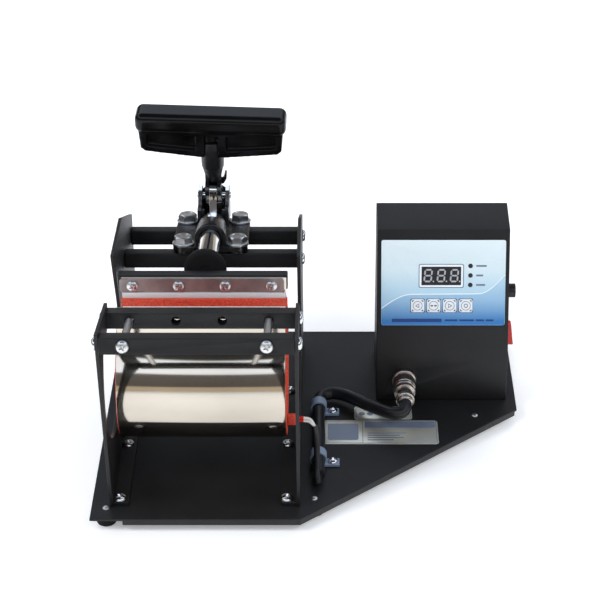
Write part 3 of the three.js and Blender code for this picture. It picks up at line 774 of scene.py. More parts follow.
class PRESS_OT_base(PieceOperator, bpy.types.Operator):
    """Base plate, rubber feet and their screws"""

    bl_idname = "press.base"
    bl_label = "Base and Feet"

    def build(self):
        softened("base_plate", "coat", width=0.0005)
        bend = [(-10.4, 0.05), (-8, 0.05), (-6.1, 1.75), (-7.4, 3.2), (-8.7, 2), (-10.4, 2)]
        lying = Matrix(((1, 0, 0, 0), (0, 0, 1, 0), (0, 1, 0, 0), (0, 0, 0, 1)))
        dress(prism("base_bend", bend, -5.5, -1.8, FLAT @ lying, 0.2), "root", "coat")
        feet = ["foot_%d" % i for i in range(1, 6)]
        proto = turned_piece("foot", [(0, 0.4), (2.6, 0.4), (3, 0), (7, 0, 0.8), (7.5, 1.4, 0.5), (6.9,
            9.85, 0.3), (0, 9.85)],
                             None)
        places = []
        for foot in feet:
            low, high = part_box(foot)
            places.append((((low.x + high.x) / 2, (low.y + high.y) / 2, low.z), (0, 0, 1), 0))
        scatter("rubber_feet", proto, places, "root", "rubber", feet)
        discard(proto)
        head = turned_piece("rivet", [(0, 1.5), (1.3, 1.35), (2.4, 0.7), (2.7, 0, 0.1), (0, 0)], None, 0.5,
                            32)
        tops = [((p[0][0], p[0][1], BASE_TOP - 0.00005), (0, 0, 1), 0) for p in places]
        scatter("foot_rivets", head, tops, "root", "zinc")
        discard(head)


class PRESS_OT_frame(PieceOperator, bpy.types.Operator):
    """Side plates, bars, rails and tension bolts"""

    bl_idname = "press.frame"
    bl_label = "Clamp Frame"

    def build(self):
        for node in ("side_plate_left", "side_plate_right"):
            softened(node, "coat", width=0.0004)
        for node in ("front_bar", "anchor_bar", "clamp_rail_front", "clamp_rail_rear"):
            softened(node, "coat", width=0.0011, steps=3)
        for side, x in TENSION_X.items():
            axis = FRONT_BAR @ Matrix.Translation(Vector((x, 0,
                                                          -6)) * MM) @ Matrix.Rotation(math.radians(-90), 4,
                                                          "X")
            shank = [(0, -0.5), (2.9, -0.5)]
            for k in range(26):
                shank += [(2.9, 1 + k * 1.94), (2.9, 1.6 + k * 1.94), (2.78, 1.95 + k * 1.94), (2.78,
                    2.2 + k * 1.94)]
            shank += [(2.9, 51.6), (2.4, 52.5), (0, 52.5)]
            body = new_object("bolt", turned_bmesh(shank, 28), axis)
            head = pan_screw("head", 9.4, 3.2)
            clearance = Matrix.Translation(Vector((0, 0, HEAD_CLEARANCE)) * MM)
            head.data.transform(axis @ Matrix.Rotation(math.radians(180), 4,
                                                       "X") @ clearance @ Matrix.Rotation(0.5, 4, "Z"))
            piece = joined("tension_bolt_%s_fine" % side, [body, head])
            dress(piece, "tension_" + side, "zinc", ["tension_bolt_" + side])


class PRESS_OT_screws(PieceOperator, bpy.types.Operator):
    """Pan head screws of the frame, its flanges and the cable clips"""

    bl_idname = "press.screws"
    bl_label = "Screws"

    def build(self):
        screw = pan_screw("screw", sizes().screw_head / MM)
        places = []
        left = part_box("side_plate_left")[0].x
        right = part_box("side_plate_right")[1].x
        for spin, matrix in enumerate((FRONT_BAR, ANCHOR_BAR)):
            for x, out in ((left, -1), (right, 1)):
                middle = local(matrix, 0, 6, -6)
                places.append(((x, middle.y, middle.z), (out, 0, 0), 20 + 50 * spin))
        for edge in ((177, 124), (230, 115.6)):
            matrix = turned((0, edge[0], edge[1]), -RAIL_SLOPE)
            for x, out in ((left, -1), (right, 1)):
                middle = local(matrix, 0, 6, -6)
                places.append(((x, middle.y, middle.z), (out, 0, 0), edge[0]))
        flange = PLATE_FLANGE
        for i, y in enumerate(flange["screw_y"]):
            for x in (flange["left_x"], flange["right_x"]):
                places.append((bench(x, y, flange["top"]), (0, 0, 1), 37 * i + x))
        scatter("frame_screws", screw, places, "root", "chrome")
        small = [(bench(16, y, 1.9), (0, 0, 1), 15 + y) for y in (141, 71)]
        scatter("clip_screws", screw, small, "root", "chrome", size=0.82)
        discard(screw)


PLATE_FLANGE = {"left_x": -141.2, "right_x": -18.2, "top": 2.9, "screw_y": (21.5, 93, 169)}


class PRESS_OT_wrap(PieceOperator, bpy.types.Operator):
    """The stainless wrap, its silicone heater and the bars that pull it closed"""

    bl_idname = "press.wrap"
    bl_label = "Heater Wrap"

    def outline(self, front_r, rear_r, thick, front_lip, rear_lip, front_top, rear_top):
        """The wrap's section as one open strip, given as the outer line and the inner line."""
        bottom = 33.3 + (46.7 - front_r)
        lines = []
        for inset in (0.0, thick):
            line = []
            fr, rr = front_r - inset, rear_r - inset
            fz, rz = bottom + front_r, bottom + rear_r
            lip_f, lip_r = front_lip + inset, rear_lip - inset
            top_f = math.pi - math.acos((72 - lip_f) / fr)
            line.append((lip_f, front_top))
            line.append((lip_f, front_top - 3))
            bend = 2.0
            z_f = fz + math.sin(top_f) * fr
            line += [(lip_f, z_f + bend), (lip_f - 0.15, z_f + 0.6)]
            steps = 72
            start_f, end_f = top_f + 0.03, 1.5 * math.pi
            line += [(72 + fr * math.cos(start_f + (end_f - start_f) * k / steps),
                      fz + fr * math.sin(start_f + (end_f - start_f) * k / steps)) for k in range(steps)]
            end_r = 2 * math.pi + math.acos((lip_r - 72) / rr)
            line += [(72 + rr * math.cos(1.5 * math.pi + (end_r - 0.03 - 1.5 * math.pi) * k / steps),
                      rz + rr * math.sin(1.5 * math.pi + (end_r - 0.03 - 1.5 * math.pi) * k / steps))
                     for k in range(steps + 1)]
            z_r = rz + math.sin(end_r) * rr
            line += [(lip_r + 0.15, z_r + 0.6), (lip_r, z_r + bend), (lip_r, rear_top - 3), (lip_r, rear_top)]
            lines.append(line)
        return lines

    def strip(self, name, lines, x0, x1):
        """A strip between two lines in (y, z), drawn out along x with broken edges."""
        outer, inner = lines
        points = outer + inner[::-1]
        obj = new_object(name, prism_bmesh(points, x0, x1), FLAT @ ALONG_X)
        bevel = obj.modifiers.new("edges", "BEVEL")
        bevel.width = 0.0002
        bevel.segments = 2
        bevel.limit_method = "ANGLE"
        bevel.angle_limit = math.radians(50)
        return plain_mesh(obj)

    def build(self):
        low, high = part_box("wrap_shell_front")
        x0, x1 = low.x / MM, high.x / MM
        shell = self.strip("wrap_sheet", self.outline(46.7, 50, 1.0, 54, 101, 146, 146), x0, x1)
        heater = self.strip("wrap_heater", self.outline(45.4, 48.7, 4.4, 55.3, 99.7, 128, 129.8), x0 - 0.6,
                            x1 + 0.8)
        for obj, look, nodes in ((shell, "steel", ["wrap_shell_front", "wrap_shell_rear"]),
                                 (heater, "silicone", ["heater_pad_front", "heater_pad_rear"])):
            dress(obj, None, look, nodes)
            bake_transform(obj)
        softened("heater_terminal", "silicone", width=0.0012, steps=4)
        softened("anchor_strip", "strip", width=0.0003)
        softened("pull_strip", "strip", "wrap_rear", width=0.0003)
        softened("pull_bar", "coat", "wrap_rear", width=0.0009, steps=3)
        screw = pan_screw("screw", 8.6, 2.6)
        strip_low, strip_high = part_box("pull_strip")
        z = (strip_low.z + strip_high.z) / 2
        places = [((x * MM, strip_low.y, z), (0, -1, 0), 25 + 38 * k) for k, x in enumerate((-132, -98,
            -63.6, -29.4))]
        scatter("strip_screws", screw, places, "wrap_rear", "zinc")
        discard(screw)
        edge = prism("wrap_edge_band", [(97.2, 129.9), (98.0, 129.9), (98.0, 134.6), (97.2, 134.6)], -139.6,
                     -18.9,
                     FLAT @ ALONG_X, 0.2)
        dress(edge, "wrap_rear", "band")
        inner = prism("heater_liner_edge", [(94.9, 118.5), (95.5, 118.5), (95.5, 124.2), (94.9, 124.2)],
                      -139.4, -19.2,
                      FLAT @ ALONG_X, 0.2)
        dress(inner, "wrap_rear", "band")


class PRESS_OT_clamp(PieceOperator, bpy.types.Operator):
    """Toggle clamp: body, plunger, rubber foot, lever, link and bolts"""

    bl_idname = "press.clamp"
    bl_label = "Toggle Clamp"

    def build(self):
        along = Matrix.Translation(Vector((0, 0, 10)) * MM) @ Matrix.Rotation(math.radians(-90), 4, "X")
        softened("clamp_body", "pressing", width=0.0004, angle=35)
        profile = [(8.6, 5.5), (11.4, 5.5, 0.5), (12.2, 6.6, 0.6), (12.2, 20, 8), (11.4, 31, 6), (9.9, 41,
            3), (9.0, 45.6, 0.8),
                   (8.6, 45.6)]
        sleeve = turned_piece("clamp_barrel", profile, CLAMP @ along, 0.4, 96)
        slot = new_object("slot", prism_bmesh([(-3.6, 12), (3.6, 12), (3.6, 40), (-3.6, 40)], 26, 60), CLAMP)
        under = new_object("under", prism_bmesh([(-20, -20), (20, -20), (20, 3.2), (-20, 3.2)], 0, 60), CLAMP)
        combined(sleeve, [slot, under], "DIFFERENCE")
        dress(sleeve, "root", "pressing")
        self.ear_edges()

        rod = turned_piece("plunger_rod", [(0, -62), (4, -62), (4, -56), (8.2, -55.7, 1.0), (8.2, 58, 1.0),
                                           (0, 58)],
                           CLAMP @ along, 0.4, 96)
        fork = new_object("fork", prism_bmesh([(-3.4, -2), (3.4, -2), (3.4, 26), (-3.4, 26)], 36, 60), CLAMP)
        combined(rod, [fork], "DIFFERENCE")
        rod.name = "plunger_rod"
        dress(rod, "plunger", "chrome", ["clamp_plunger"])
        foot = turned_piece("plunger_foot_fine", [(0, -65.6), (3.2, -65.6, 0.6), (4.2, -66, 0.6), (13.6,
            -66, 1.8), (15.7, -64.6, 1.2),
                                                  (16, -62, 1.2), (15.2, -58.4, 1.6), (11, -56, 1), (4.35,
                                                  -56, 0.3), (4.35, -62.2, 0.2),
                                                  (0, -62.2)], CLAMP @ along, 0.5, 96)
        dress(foot, "plunger", "rubber", ["plunger_foot"])

        softened("clamp_lever", "pressing", "lever", width=0.0005, steps=3)
        lug = prism("release_lug", [(6.0, 13), (8.4, 13.5), (10.6, 18), (10.9, 22.5), (9.2, 22.8), (8.6,
            19), (7.4, 16.5),
                                    (6.0, 16)], -3, 3, PIVOT, 0.5)
        dress(lug, "lever", "pressing")
        softened("clamp_link", "chrome", "link", width=0.0006, steps=3)
        for node, owner in (("pivot_pin", "root"), ("link_pin", "lever")):
            softened(node, "chrome", owner, width=0.0004)

        bolts = ["clamp_bolt_%d" % i for i in range(1, 5)]
        washers = ["clamp_washer_%d" % i for i in range(1, 5)]
        up = CLAMP.to_3x3() @ Vector((0, 0, 1))
        washer_r = sizes().washer / MM / 2
        washer = turned_piece("washer", [(4.3, 0), (washer_r, 0, 0.35), (washer_r, 1.6, 0.35), (4.3, 1.6)],
                              None, 0.3)
        bolt = hex_bolt("hex")
        spots = [(x, u) for u in (6, 59.7) for x in (-21, 21)]
        scatter("clamp_washers", washer, [(local(CLAMP, x, u, 5.75), up, 0) for x, u in spots], "root",
                "zinc", washers)
        scatter("clamp_bolts", bolt, [(local(CLAMP, x, u, 7.4), up, 11 + 17 * k) for k, (x,
            u) in enumerate(spots)],
                "root", "zinc", bolts)
        discard(washer, bolt)


    def ear_edges(self):
        """Bright sheared edges along the tops of the pressed ears."""
        top = [(48.8, 21), (56, 21), (63, 31), (70, 33), (77, 31), (82, 22)]
        strips = []
        for side in (-1, 1):
            for (u0, w0), (u1, w1) in zip(top, top[1:]):
                reach = math.hypot(u1 - u0, w1 - w0)
                du, dw = (u1 - u0) / reach, (w1 - w0) / reach
                outline = [(u0, w0), (u1, w1), (u1 - dw * 0.25, w1 + du * 0.25), (u0 - dw * 0.25,
                    w0 + du * 0.25)]
                x0, x1 = sorted((side * 9.4, side * 12.2))
                strips.append(new_object("edge", prism_bmesh(outline, x0, x1), CLAMP @ ALONG_X))
            x0, x1 = sorted((side * 6.9, side * 12.2))
            strips.append(new_object("edge", prism_bmesh([(46.1, 20), (48.5, 20), (48.5, 20.3), (46.1,
                20.3)], x0, x1),
                                     CLAMP @ ALONG_X))
        dress(joined("ear_edges", strips), "root", "chrome")
        wall = prism("ear_wall", [(-9.6, 5), (9.6, 5), (9.6, 27), (6, 30), (-6, 30), (-9.6, 27)], 79.4,
                     81.8, CLAMP, 0.4)
        dress(wall, "root", "pressing")


class PRESS_OT_grip(PieceOperator, bpy.types.Operator):
    """Neck and T-grip of the clamp's handle"""

    bl_idname = "press.grip"
    bl_label = "T-Grip"

    def build(self):
        yaw = PIVOT @ Matrix.Rotation(math.radians(-3), 4, "Z")
        neck = turned_piece("grip_neck_fine", [(4.3, 27), (7.2, 27, 0.8), (8.8, 29.5, 1.2), (9, 34), (9,
            49), (8.2, 54.6, 1),
                                               (4.3, 55)], PIVOT, 0.6)
        dress(neck, "lever", "satin", ["grip_neck"])
        taper = turned_piece("neck_taper", [(0, 16), (5.6, 16, 0.8), (6.6, 21, 2), (8.0, 27.6, 0.5), (0,
            27.6)], PIVOT, 0.5)
        dress(taper, "lever", "satin")
        half = 59
        crossbar = prism("grip", rounded_outline(-half, half, 65, 81.4, 5.5), -11, 11, yaw, 6.2, 6)
        web = new_object("web", prism_bmesh([(-11, 43), (11, 43), (half - 7, 47.4), (half - 3.6, 50.5),
                                             (half - 2.2, 70),
                                             (-half + 2.2, 70), (-half + 3.6, 50.5), (-half + 7, 47.4)],
                                             -8.5, 8.5), yaw)
        combined(crossbar, [web], "UNION")
        tools = []
        for low, high in ((-20, -5.0), (5.0, 20)):
            for side in (-1, 1):
                points = [(side * 12, 49), (side * (half - 9), 52.4), (side * (half - 9), 62.6), (side * 12,
                    62.6)]
                tools.append(new_object("pocket", prism_bmesh(points, low, high), yaw))
                points = [(side * 3.2, 47), (side * 5.2, 47), (side * 5.2, 63), (side * 3.2, 63)]
                low_groove, high_groove = (low, -7.4) if low < 0 else (7.4, high)
                tools.append(new_object("groove", prism_bmesh(points, low_groove, high_groove), yaw))
        tools.append(new_object("socket", turned_bmesh([(0, 20), (9.6, 20), (9.6, 57), (4.3, 57), (4.3, 58),
                                                        (0, 58)], 48), PIVOT))
        combined(crossbar, tools, "DIFFERENCE")
        grip = remeshed(crossbar, 0.55, 4)
        grip.name = "t_grip_fine"
        dress(grip, "lever", "gloss", ["t_grip"], 70)


class PRESS_OT_box(PieceOperator, bpy.types.Operator):
    """Control box, its rear cover, mains inlet and circuit board"""

    bl_idname = "press.box"
    bl_label = "Control Box"

    def build(self):
        softened("control_box", "coat", width=0.0009, steps=3)
        softened("control_back", "coat", width=0.0004)
        softened("mains_inlet", "satin", width=0.0005)
        softened("circuit_board", "board", width=0.0002)
        pins = [prism("pin", [(x - 1, z - 2), (x + 1, z - 2), (x + 1, z + 2), (x - 1, z + 2)], 217.5, 231,
                      FLAT, 0.3)
                for x, z in ((71, 28), (78, 33), (85, 28))]
        dress(joined("inlet_pins", pins), "root", "brass")


class PRESS_OT_panel(PieceOperator, bpy.types.Operator):
    """Printed film, display, lamps and keys of the control panel"""

    bl_idname = "press.panel"
    bl_label = "Control Panel"

    KEYS = (-19.9, -7.4, 5.2, 17.8)
    KEY_Z = 39.9

    def swoosh(self, x):
        """Height of the white line along the panel at x."""
        if x < -24:
            t = max(0.0, (x + 48.5) / 24.5)
            return 37 + 11.6 * math.sin(t * math.pi / 2)
        if x > 27:
            t = min(1.0, (x - 27) / 21.5)
            return 49 + 15.5 * (1 - math.cos(t * math.pi / 2))
        return 48.6 + 0.4 * (x + 24) / 51

    def build(self):
        softened("panel_overlay", "film high", width=0.0002)
        xs = [-48.2 + 96.4 * k / 96 for k in range(97)]
        line = [(x, self.swoosh(x)) for x in xs]
        low = new_object("film_low_field", prism_bmesh([(-48.2, 24.3)] + [(48.2, 24.3)] + line[::-1], -1.38,
                                                       -1.28), PANEL)
        tools = [new_object("gap", prism_bmesh(rounded_outline(x - 5.65, x + 5.65, self.KEY_Z - 5.65,
                                                               self.KEY_Z + 5.65, 1.2),
                                               -3, 1), PANEL) for x in self.KEYS]
        combined(low, tools, "DIFFERENCE")
        dress(low, "root", "film low")
        ribbon = [(x, z + 0.75) for x, z in line] + [(x, z - 0.05) for x, z in line[::-1]]
        dress(flat_print("film_line", ribbon, PANEL, 0.1, 1.36), "root", "white ink")
        self.display()
        self.lamps()
        self.keys()
        self.bars()

    def display(self):
        softened("display_window", "window", width=0.0002)
        outer = rounded_outline(-19.3, 16, 54, 73.2, 1.6)
        ring = flat_print("display_bezel", outer, PANEL, 0.1, 1.3)
        inner = new_object("inner", prism_bmesh(rounded_outline(-18.7, 15.4, 54.6, 72.6, 1.2), -3, 1), PANEL)
        combined(ring, [inner], "DIFFERENCE")
        dress(ring, "root", "grey ink")
        mat = flat_print("display_mount", rounded_outline(-18.5, 15.2, 54.8, 72.4, 1.1), PANEL, 0.06, 1.3)
        hole = new_object("hole", prism_bmesh(rounded_outline(-17.1, 13.8, 56.2, 71, 0.3), -3, 1), PANEL)
        combined(mat, [hole], "DIFFERENCE")
        dress(mat, "root", "white ink")
        parts = []
        for digit in range(3):
            cx, cz, slant = -11.9 + 10.25 * digit, 63.8, 0.1
            w, h, t = 2.65, 4.6, 0.62
            strokes = [(-w, 0, w, 0), (-w, h, w, h), (-w, -h, w, -h), (-w, 0, -w, h), (w, 0, w, h), (-w, -h,
                -w, 0), (w, -h, w, 0)]
            for x0, z0, x1, z1 in strokes:
                a, b = Vector((x0, z0)), Vector((x1, z1))
                along = (b - a).normalized()
                side = Vector((-along.y, along.x)) * t
                a, b = a + along * 0.35, b - along * 0.35
                shape = [a, a + along * t - side, b - along * t - side, b, b - along * t + side,
                         a + along * t + side]
                points = [(cx + p.x + slant * p.y, cz + p.y) for p in shape]
                parts.append(flat_print("stroke", points, PANEL, 0.08, 1.1))
            dot = [(cx + 4.1 + 0.62 * math.cos(a),
                    cz - h + 0.62 * math.sin(a)) for a in (k * math.pi / 6 for k in range(12))]
            parts.append(flat_print("dot", dot, PANEL, 0.08, 1.1))
        dress(joined("display_digits", parts), "root", "digit")

    def lamps(self):
        lamp = turned_piece("lamp", [(0, 1.1), (1.1, 0.9), (1.75, 0.2), (1.85, 0), (0, 0)], None, 0.4, 32)
        out = PANEL.to_3x3() @ Vector((0, -1, 0))
        places = [(local(PANEL, 21.1, -1.3, z), out, 0) for z in (56.4, 64.0, 71.6)]
        scatter("panel_lamps", lamp, places, "root", "black ink")
        discard(lamp)
        marks = [flat_print("mark", rounded_outline(25.5, 25.5 + w, z - 0.7, z + 0.7, 0.3, 3), PANEL, 0.06,
                            1.3)
                 for z, w in ((56.4, 7.2), (64.0, 5.6), (71.6, 8.2))]
        dress(joined("lamp_marks", marks), "root", "grey ink")

    def keys(self):
        for i, x in enumerate(self.KEYS):
            body = "button_%d" % (i + 1)
            key = prism(body + "_fine", rounded_outline(x - 5.3, x + 5.3, self.KEY_Z - 5.3,
                                                        self.KEY_Z + 5.3, 1.7), -2.0, -0.9,
                        PANEL, 0.25)
            dress(key, body, "key", [body])
            parts = []
            circle = [(math.cos(2 * math.pi * k / 40), math.sin(2 * math.pi * k / 40)) for k in range(40)]
            ring = flat_print("ring", [(x + 3.7 * a, self.KEY_Z + 3.7 * b) for a, b in circle], PANEL, 0.05,
                              2.0)
            hole = new_object("hole", prism_bmesh([(x + 3.35 * a, self.KEY_Z + 3.35 * b) for a,
                                                   b in circle], -4, 1), PANEL)
            parts.append(combined(ring, [hole], "DIFFERENCE"))
            for ca, cb in ((-1, -1), (1, -1), (1, 1), (-1, 1)):
                corner = [(x + ca * (4.4 - p), self.KEY_Z + cb * (4.4 - q)) for p, q in ((0, 0), (1.7, 0),
                    (0, 1.7))]
                parts.append(flat_print("corner", corner, PANEL, 0.05, 2.0))
            parts.append(self.icon(i, x))
            dress(joined(body + "_print", parts), body, "key ink")

    def icon(self, index, x):
        z = self.KEY_Z
        if index in (0, 2):
            side = -1 if index == 0 else 1
            outer = [(x + side * 1.9, z), (x - side * 1.1, z + 1.8), (x - side * 1.1, z - 1.8)]
            inner = [(x + side * 1.15, z), (x - side * 0.75, z + 1.12), (x - side * 0.75, z - 1.12)]
        elif index == 1:
            outer = rounded_outline(x - 2.4, x + 2.4, z - 0.55, z + 0.55, 0.3, 3)
            inner = rounded_outline(x - 0.5, x + 0.5, z - 0.8, z + 0.8, 0.1, 2)
        else:
            outer = [(x + 1.6 * math.cos(k * math.pi / 12),
                      z + 1.6 * math.sin(k * math.pi / 12)) for k in range(24)]
            inner = [(x + 1.1 * math.cos(k * math.pi / 12),
                      z + 1.1 * math.sin(k * math.pi / 12)) for k in range(24)]
        shape = flat_print("icon", outer, PANEL, 0.05, 2.0)
        hole = new_object("hole", prism_bmesh(inner, -4, 1), PANEL)
        return combined(shape, [hole], "DIFFERENCE")

    def bars(self):
        parts = [flat_print("bar", rounded_outline(-40, -1, 26.6, 29.4, 0.4, 3), PANEL, 0.06, 1.38)]
        x = 1.5
        for width in (10, 11.5, 6.5, 6):
            parts.append(flat_print("bar", rounded_outline(x, x + width, 27.3, 28.8, 0.3, 3), PANEL, 0.06,
                                    1.38))
            x += width + 1.4
        dress(joined("panel_bars", parts), "root", "navy ink")


class PRESS_OT_fittings(PieceOperator, bpy.types.Operator):
    """Fuse holder and rocker switch on the box's right side"""

    bl_idname = "press.fittings"
    bl_label = "Side Fittings"

    def build(self):
        softened("fuse_holder", "satin", width=0.0005)
        softened("fuse_cap", "satin", "fuse_cap", width=0.0006)
        softened("rocker_housing", "red", width=0.0006)
        softened("rocker_switch", "red", "rocker", width=0.0007, steps=3)


class PRESS_OT_plug(PieceOperator, bpy.types.Operator):
    """Round lead connector: panel socket, knurled coupling nut and plug"""

    bl_idname = "press.plug"
    bl_label = "Lead Connector"

    def build(self):
        axis = turned((72.5, 0, 20), math.radians(-90))
        socket = turned_piece("lead_socket_fine", [(0, 148), (6.4, 148), (6.4, 156), (8.2, 156), (9.4,
            156.4, 0.5), (9.8, 157.4),
                                                   (9.8, 159.8), (7, 159.8), (7, 170), (0, 170)], axis, 0.3)
        dress(socket, "root", "nickel", ["lead_socket"])
        nut = [(6.8, 143), (8.0, 143, 0.3), (8.6, 143.8, 0.3), (8.6, 145), (8.2, 145.4), (8.2, 146), (8.75,
            146.4), (8.75, 154.6),
               (8.3, 155.6, 0.3), (6.8, 155.6)]
        ring = turned_piece("coupling_nut_fine", nut, axis, 0.2, 120)
        centre = bench(72.5, 0, 20)
        for vertex in ring.data.vertices:
            offset = vertex.co - centre
            radius = math.hypot(offset.x, offset.z)
            along = (vertex.co.y - FRONT_EDGE) / MM
            if radius > 8.6 * MM and along > 146.2:
                angle = math.atan2(offset.z, offset.x)
                share = 1 - 0.02 * (0.5 + 0.5 * math.cos(angle * 60))
                vertex.co.x = centre.x + offset.x * share
                vertex.co.z = centre.z + offset.z * share
        dress(ring, "coupling_nut", "nickel", ["coupling_nut"])
        plug = [(0, 124), (5, 124, 0.6), (6.2, 124.8, 0.5), (6.2, 128), (7.3, 128.2, 0.3), (7.3, 131.8,
            0.4), (5.6, 133), (5.6, 138),
                (8.3, 138.6, 0.3), (8.3, 141, 0.3), (5.9, 142.4), (5.9, 147.7), (0, 147.7)]
        shell = turned_piece("lead_plug_fine", plug, axis, 0.2)
        dress(shell, "root", "nickel", ["lead_plug"])
        band = turned_piece("plug_insulator", [(5.65, 133.1), (6.0, 133.3), (6.0, 137.7), (5.65, 137.9)],
                            axis, 0.1)
        dress(band, "root", "satin")


LEAD_ROUTE = [(72.5, 123.6, 20), (72.3, 119, 19.8), (69.5, 113.5, 19), (63.5, 113.5, 17.8), (54, 121.5, 15.8),
              (44, 132.5, 13), (34, 145, 10.4), (25, 154, 8.6), (16, 158.5, 7.4), (8.5, 156, 6.9), (5.3,
              149, 6.7),
              (5, 141, 6.7), (5, 120, 6.5), (5.3, 95, 6.5), (5, 71, 6.7), (5, 47, 6.7)]
WIRE_ROUTE = [(-11, 62.5, 46), (-6, 62.5, 46), (-1.2, 62.3, 44.9), (2.2, 61.4, 41), (3.6, 59, 31), (4, 54,
    21.5),
              (4, 47.5, 15.4), (4, 42.8, 11.8), (4.2, 40.3, 8.2), (4.7, 39.4, 5.3), (5, 40.7, 4.8), (5,
              43.2, 6.3), (5, 46.4, 6.6)]


class PRESS_OT_lead(PieceOperator, bpy.types.Operator):
    """The heater's lead, its wires and the two cable clips"""

    bl_idname = "press.lead"
    bl_label = "Lead and Clips"

    def build(self):
        dress(tube("lead_sleeve", LEAD_ROUTE, 4.85), "root", "lead", ["heater_lead"])
        dress(tube("wire_sleeve", WIRE_ROUTE[3:], 2.4, 20), "root", "lead", ["heater_wires"])
        for name, look, drop in (("wire_white", "white wire", 0.9), ("wire_white_second", "white wire",
            -0.9)):
            points = [(x, y + drop * 0.6, z + drop) for x, y, z in WIRE_ROUTE[1:3]] + [(2.6,
                61.4 + drop * 0.5, 40)]
            dress(tube(name, points, 1.0, 14), "root", look)
            stub = [(x, y + drop * 0.6, z + drop) for x, y, z in WIRE_ROUTE[:2]]
            dress(tube(name + "_stub", stub, 1.15, 14), "root", "red")
        for i in (1, 2):
            softened("cable_clip_%d" % i, "clip", width=0.0003)


class PRESS_OT_labels(PieceOperator, bpy.types.Operator):
    """Two thin metal plates on the base, with a plain border and bars printed on them"""

    bl_idname = "press.labels"
    bl_label = "Labels"

    def build(self):
        plate = prism("label_plate", rounded_outline(7.5, 98, 97, 130, 3), 0.02, 0.5, self.lying(), 0.15)
        dress(plate, "root", "label")
        small = prism("data_plate", rounded_outline(33, 78.5, 131.6, 150, 2.5), 0.02, 0.4, self.lying(), 0.12)
        dress(small, "root", "label")
        bars = [rounded_outline(41, 95.6, 119.4, 128, 0.8, 3)]
        bars += [rounded_outline(43, 43 + w, y, y + 1.1, 0.3, 3) for w, y in ((30, 111.4), (25, 108.3), (28,
            105.2), (20, 102.1))]
        self.shapes("label_bars", "grey ink", 0.5, bars)
        self.shapes("label_patch", "grey ink", 0.5, [rounded_outline(12, 36, 102.4, 125, 2, 4)])
        self.shapes("label_border", "grey ink", 0.5, [rounded_outline(39, 39.5, 98.5, 128.6, 0.1, 2),
                                                      *self.frame_lines(8.7, 96.8, 98.2, 128.9)])
        circles = [[(x + 2.4 * math.cos(k * math.pi / 12),
                     139.5 + 2.4 * math.sin(k * math.pi / 12)) for k in range(24)]
                   for x in (39, 45.4, 74)]
        self.shapes("data_plate_marks", "grey ink", 0.4, circles + self.frame_lines(34.2, 77.3, 132.8, 148.8))

    def lying(self):
        """A frame whose outlines lie on the base: local x and z become x and y, and local y points up."""
        return FLAT @ Matrix(((1, 0, 0, 0), (0, 0, 1, 0), (0, 1, 0, 0), (0, 0, 0, 1)))

    def shapes(self, name, look, lift, outlines, ahead=0.08):
        parts = [new_object("shape", prism_bmesh(points, lift, lift + ahead),
                            self.lying()) for points in outlines]
        dress(joined(name, parts), "root", look)

    def frame_lines(self, x0, x1, y0, y1, wide=0.35):
        return [[(x0, y0), (x1, y0), (x1, y0 + wide), (x0, y0 + wide)], [(x0, y1 - wide), (x1, y1 - wide),
            (x1, y1), (x0, y1)],
                [(x0, y0 + wide), (x0 + wide, y0 + wide), (x0 + wide, y1 - wide), (x0, y1 - wide)],
                [(x1 - wide, y0 + wide), (x1, y0 + wide), (x1, y1 - wide), (x1 - wide, y1 - wide)]]


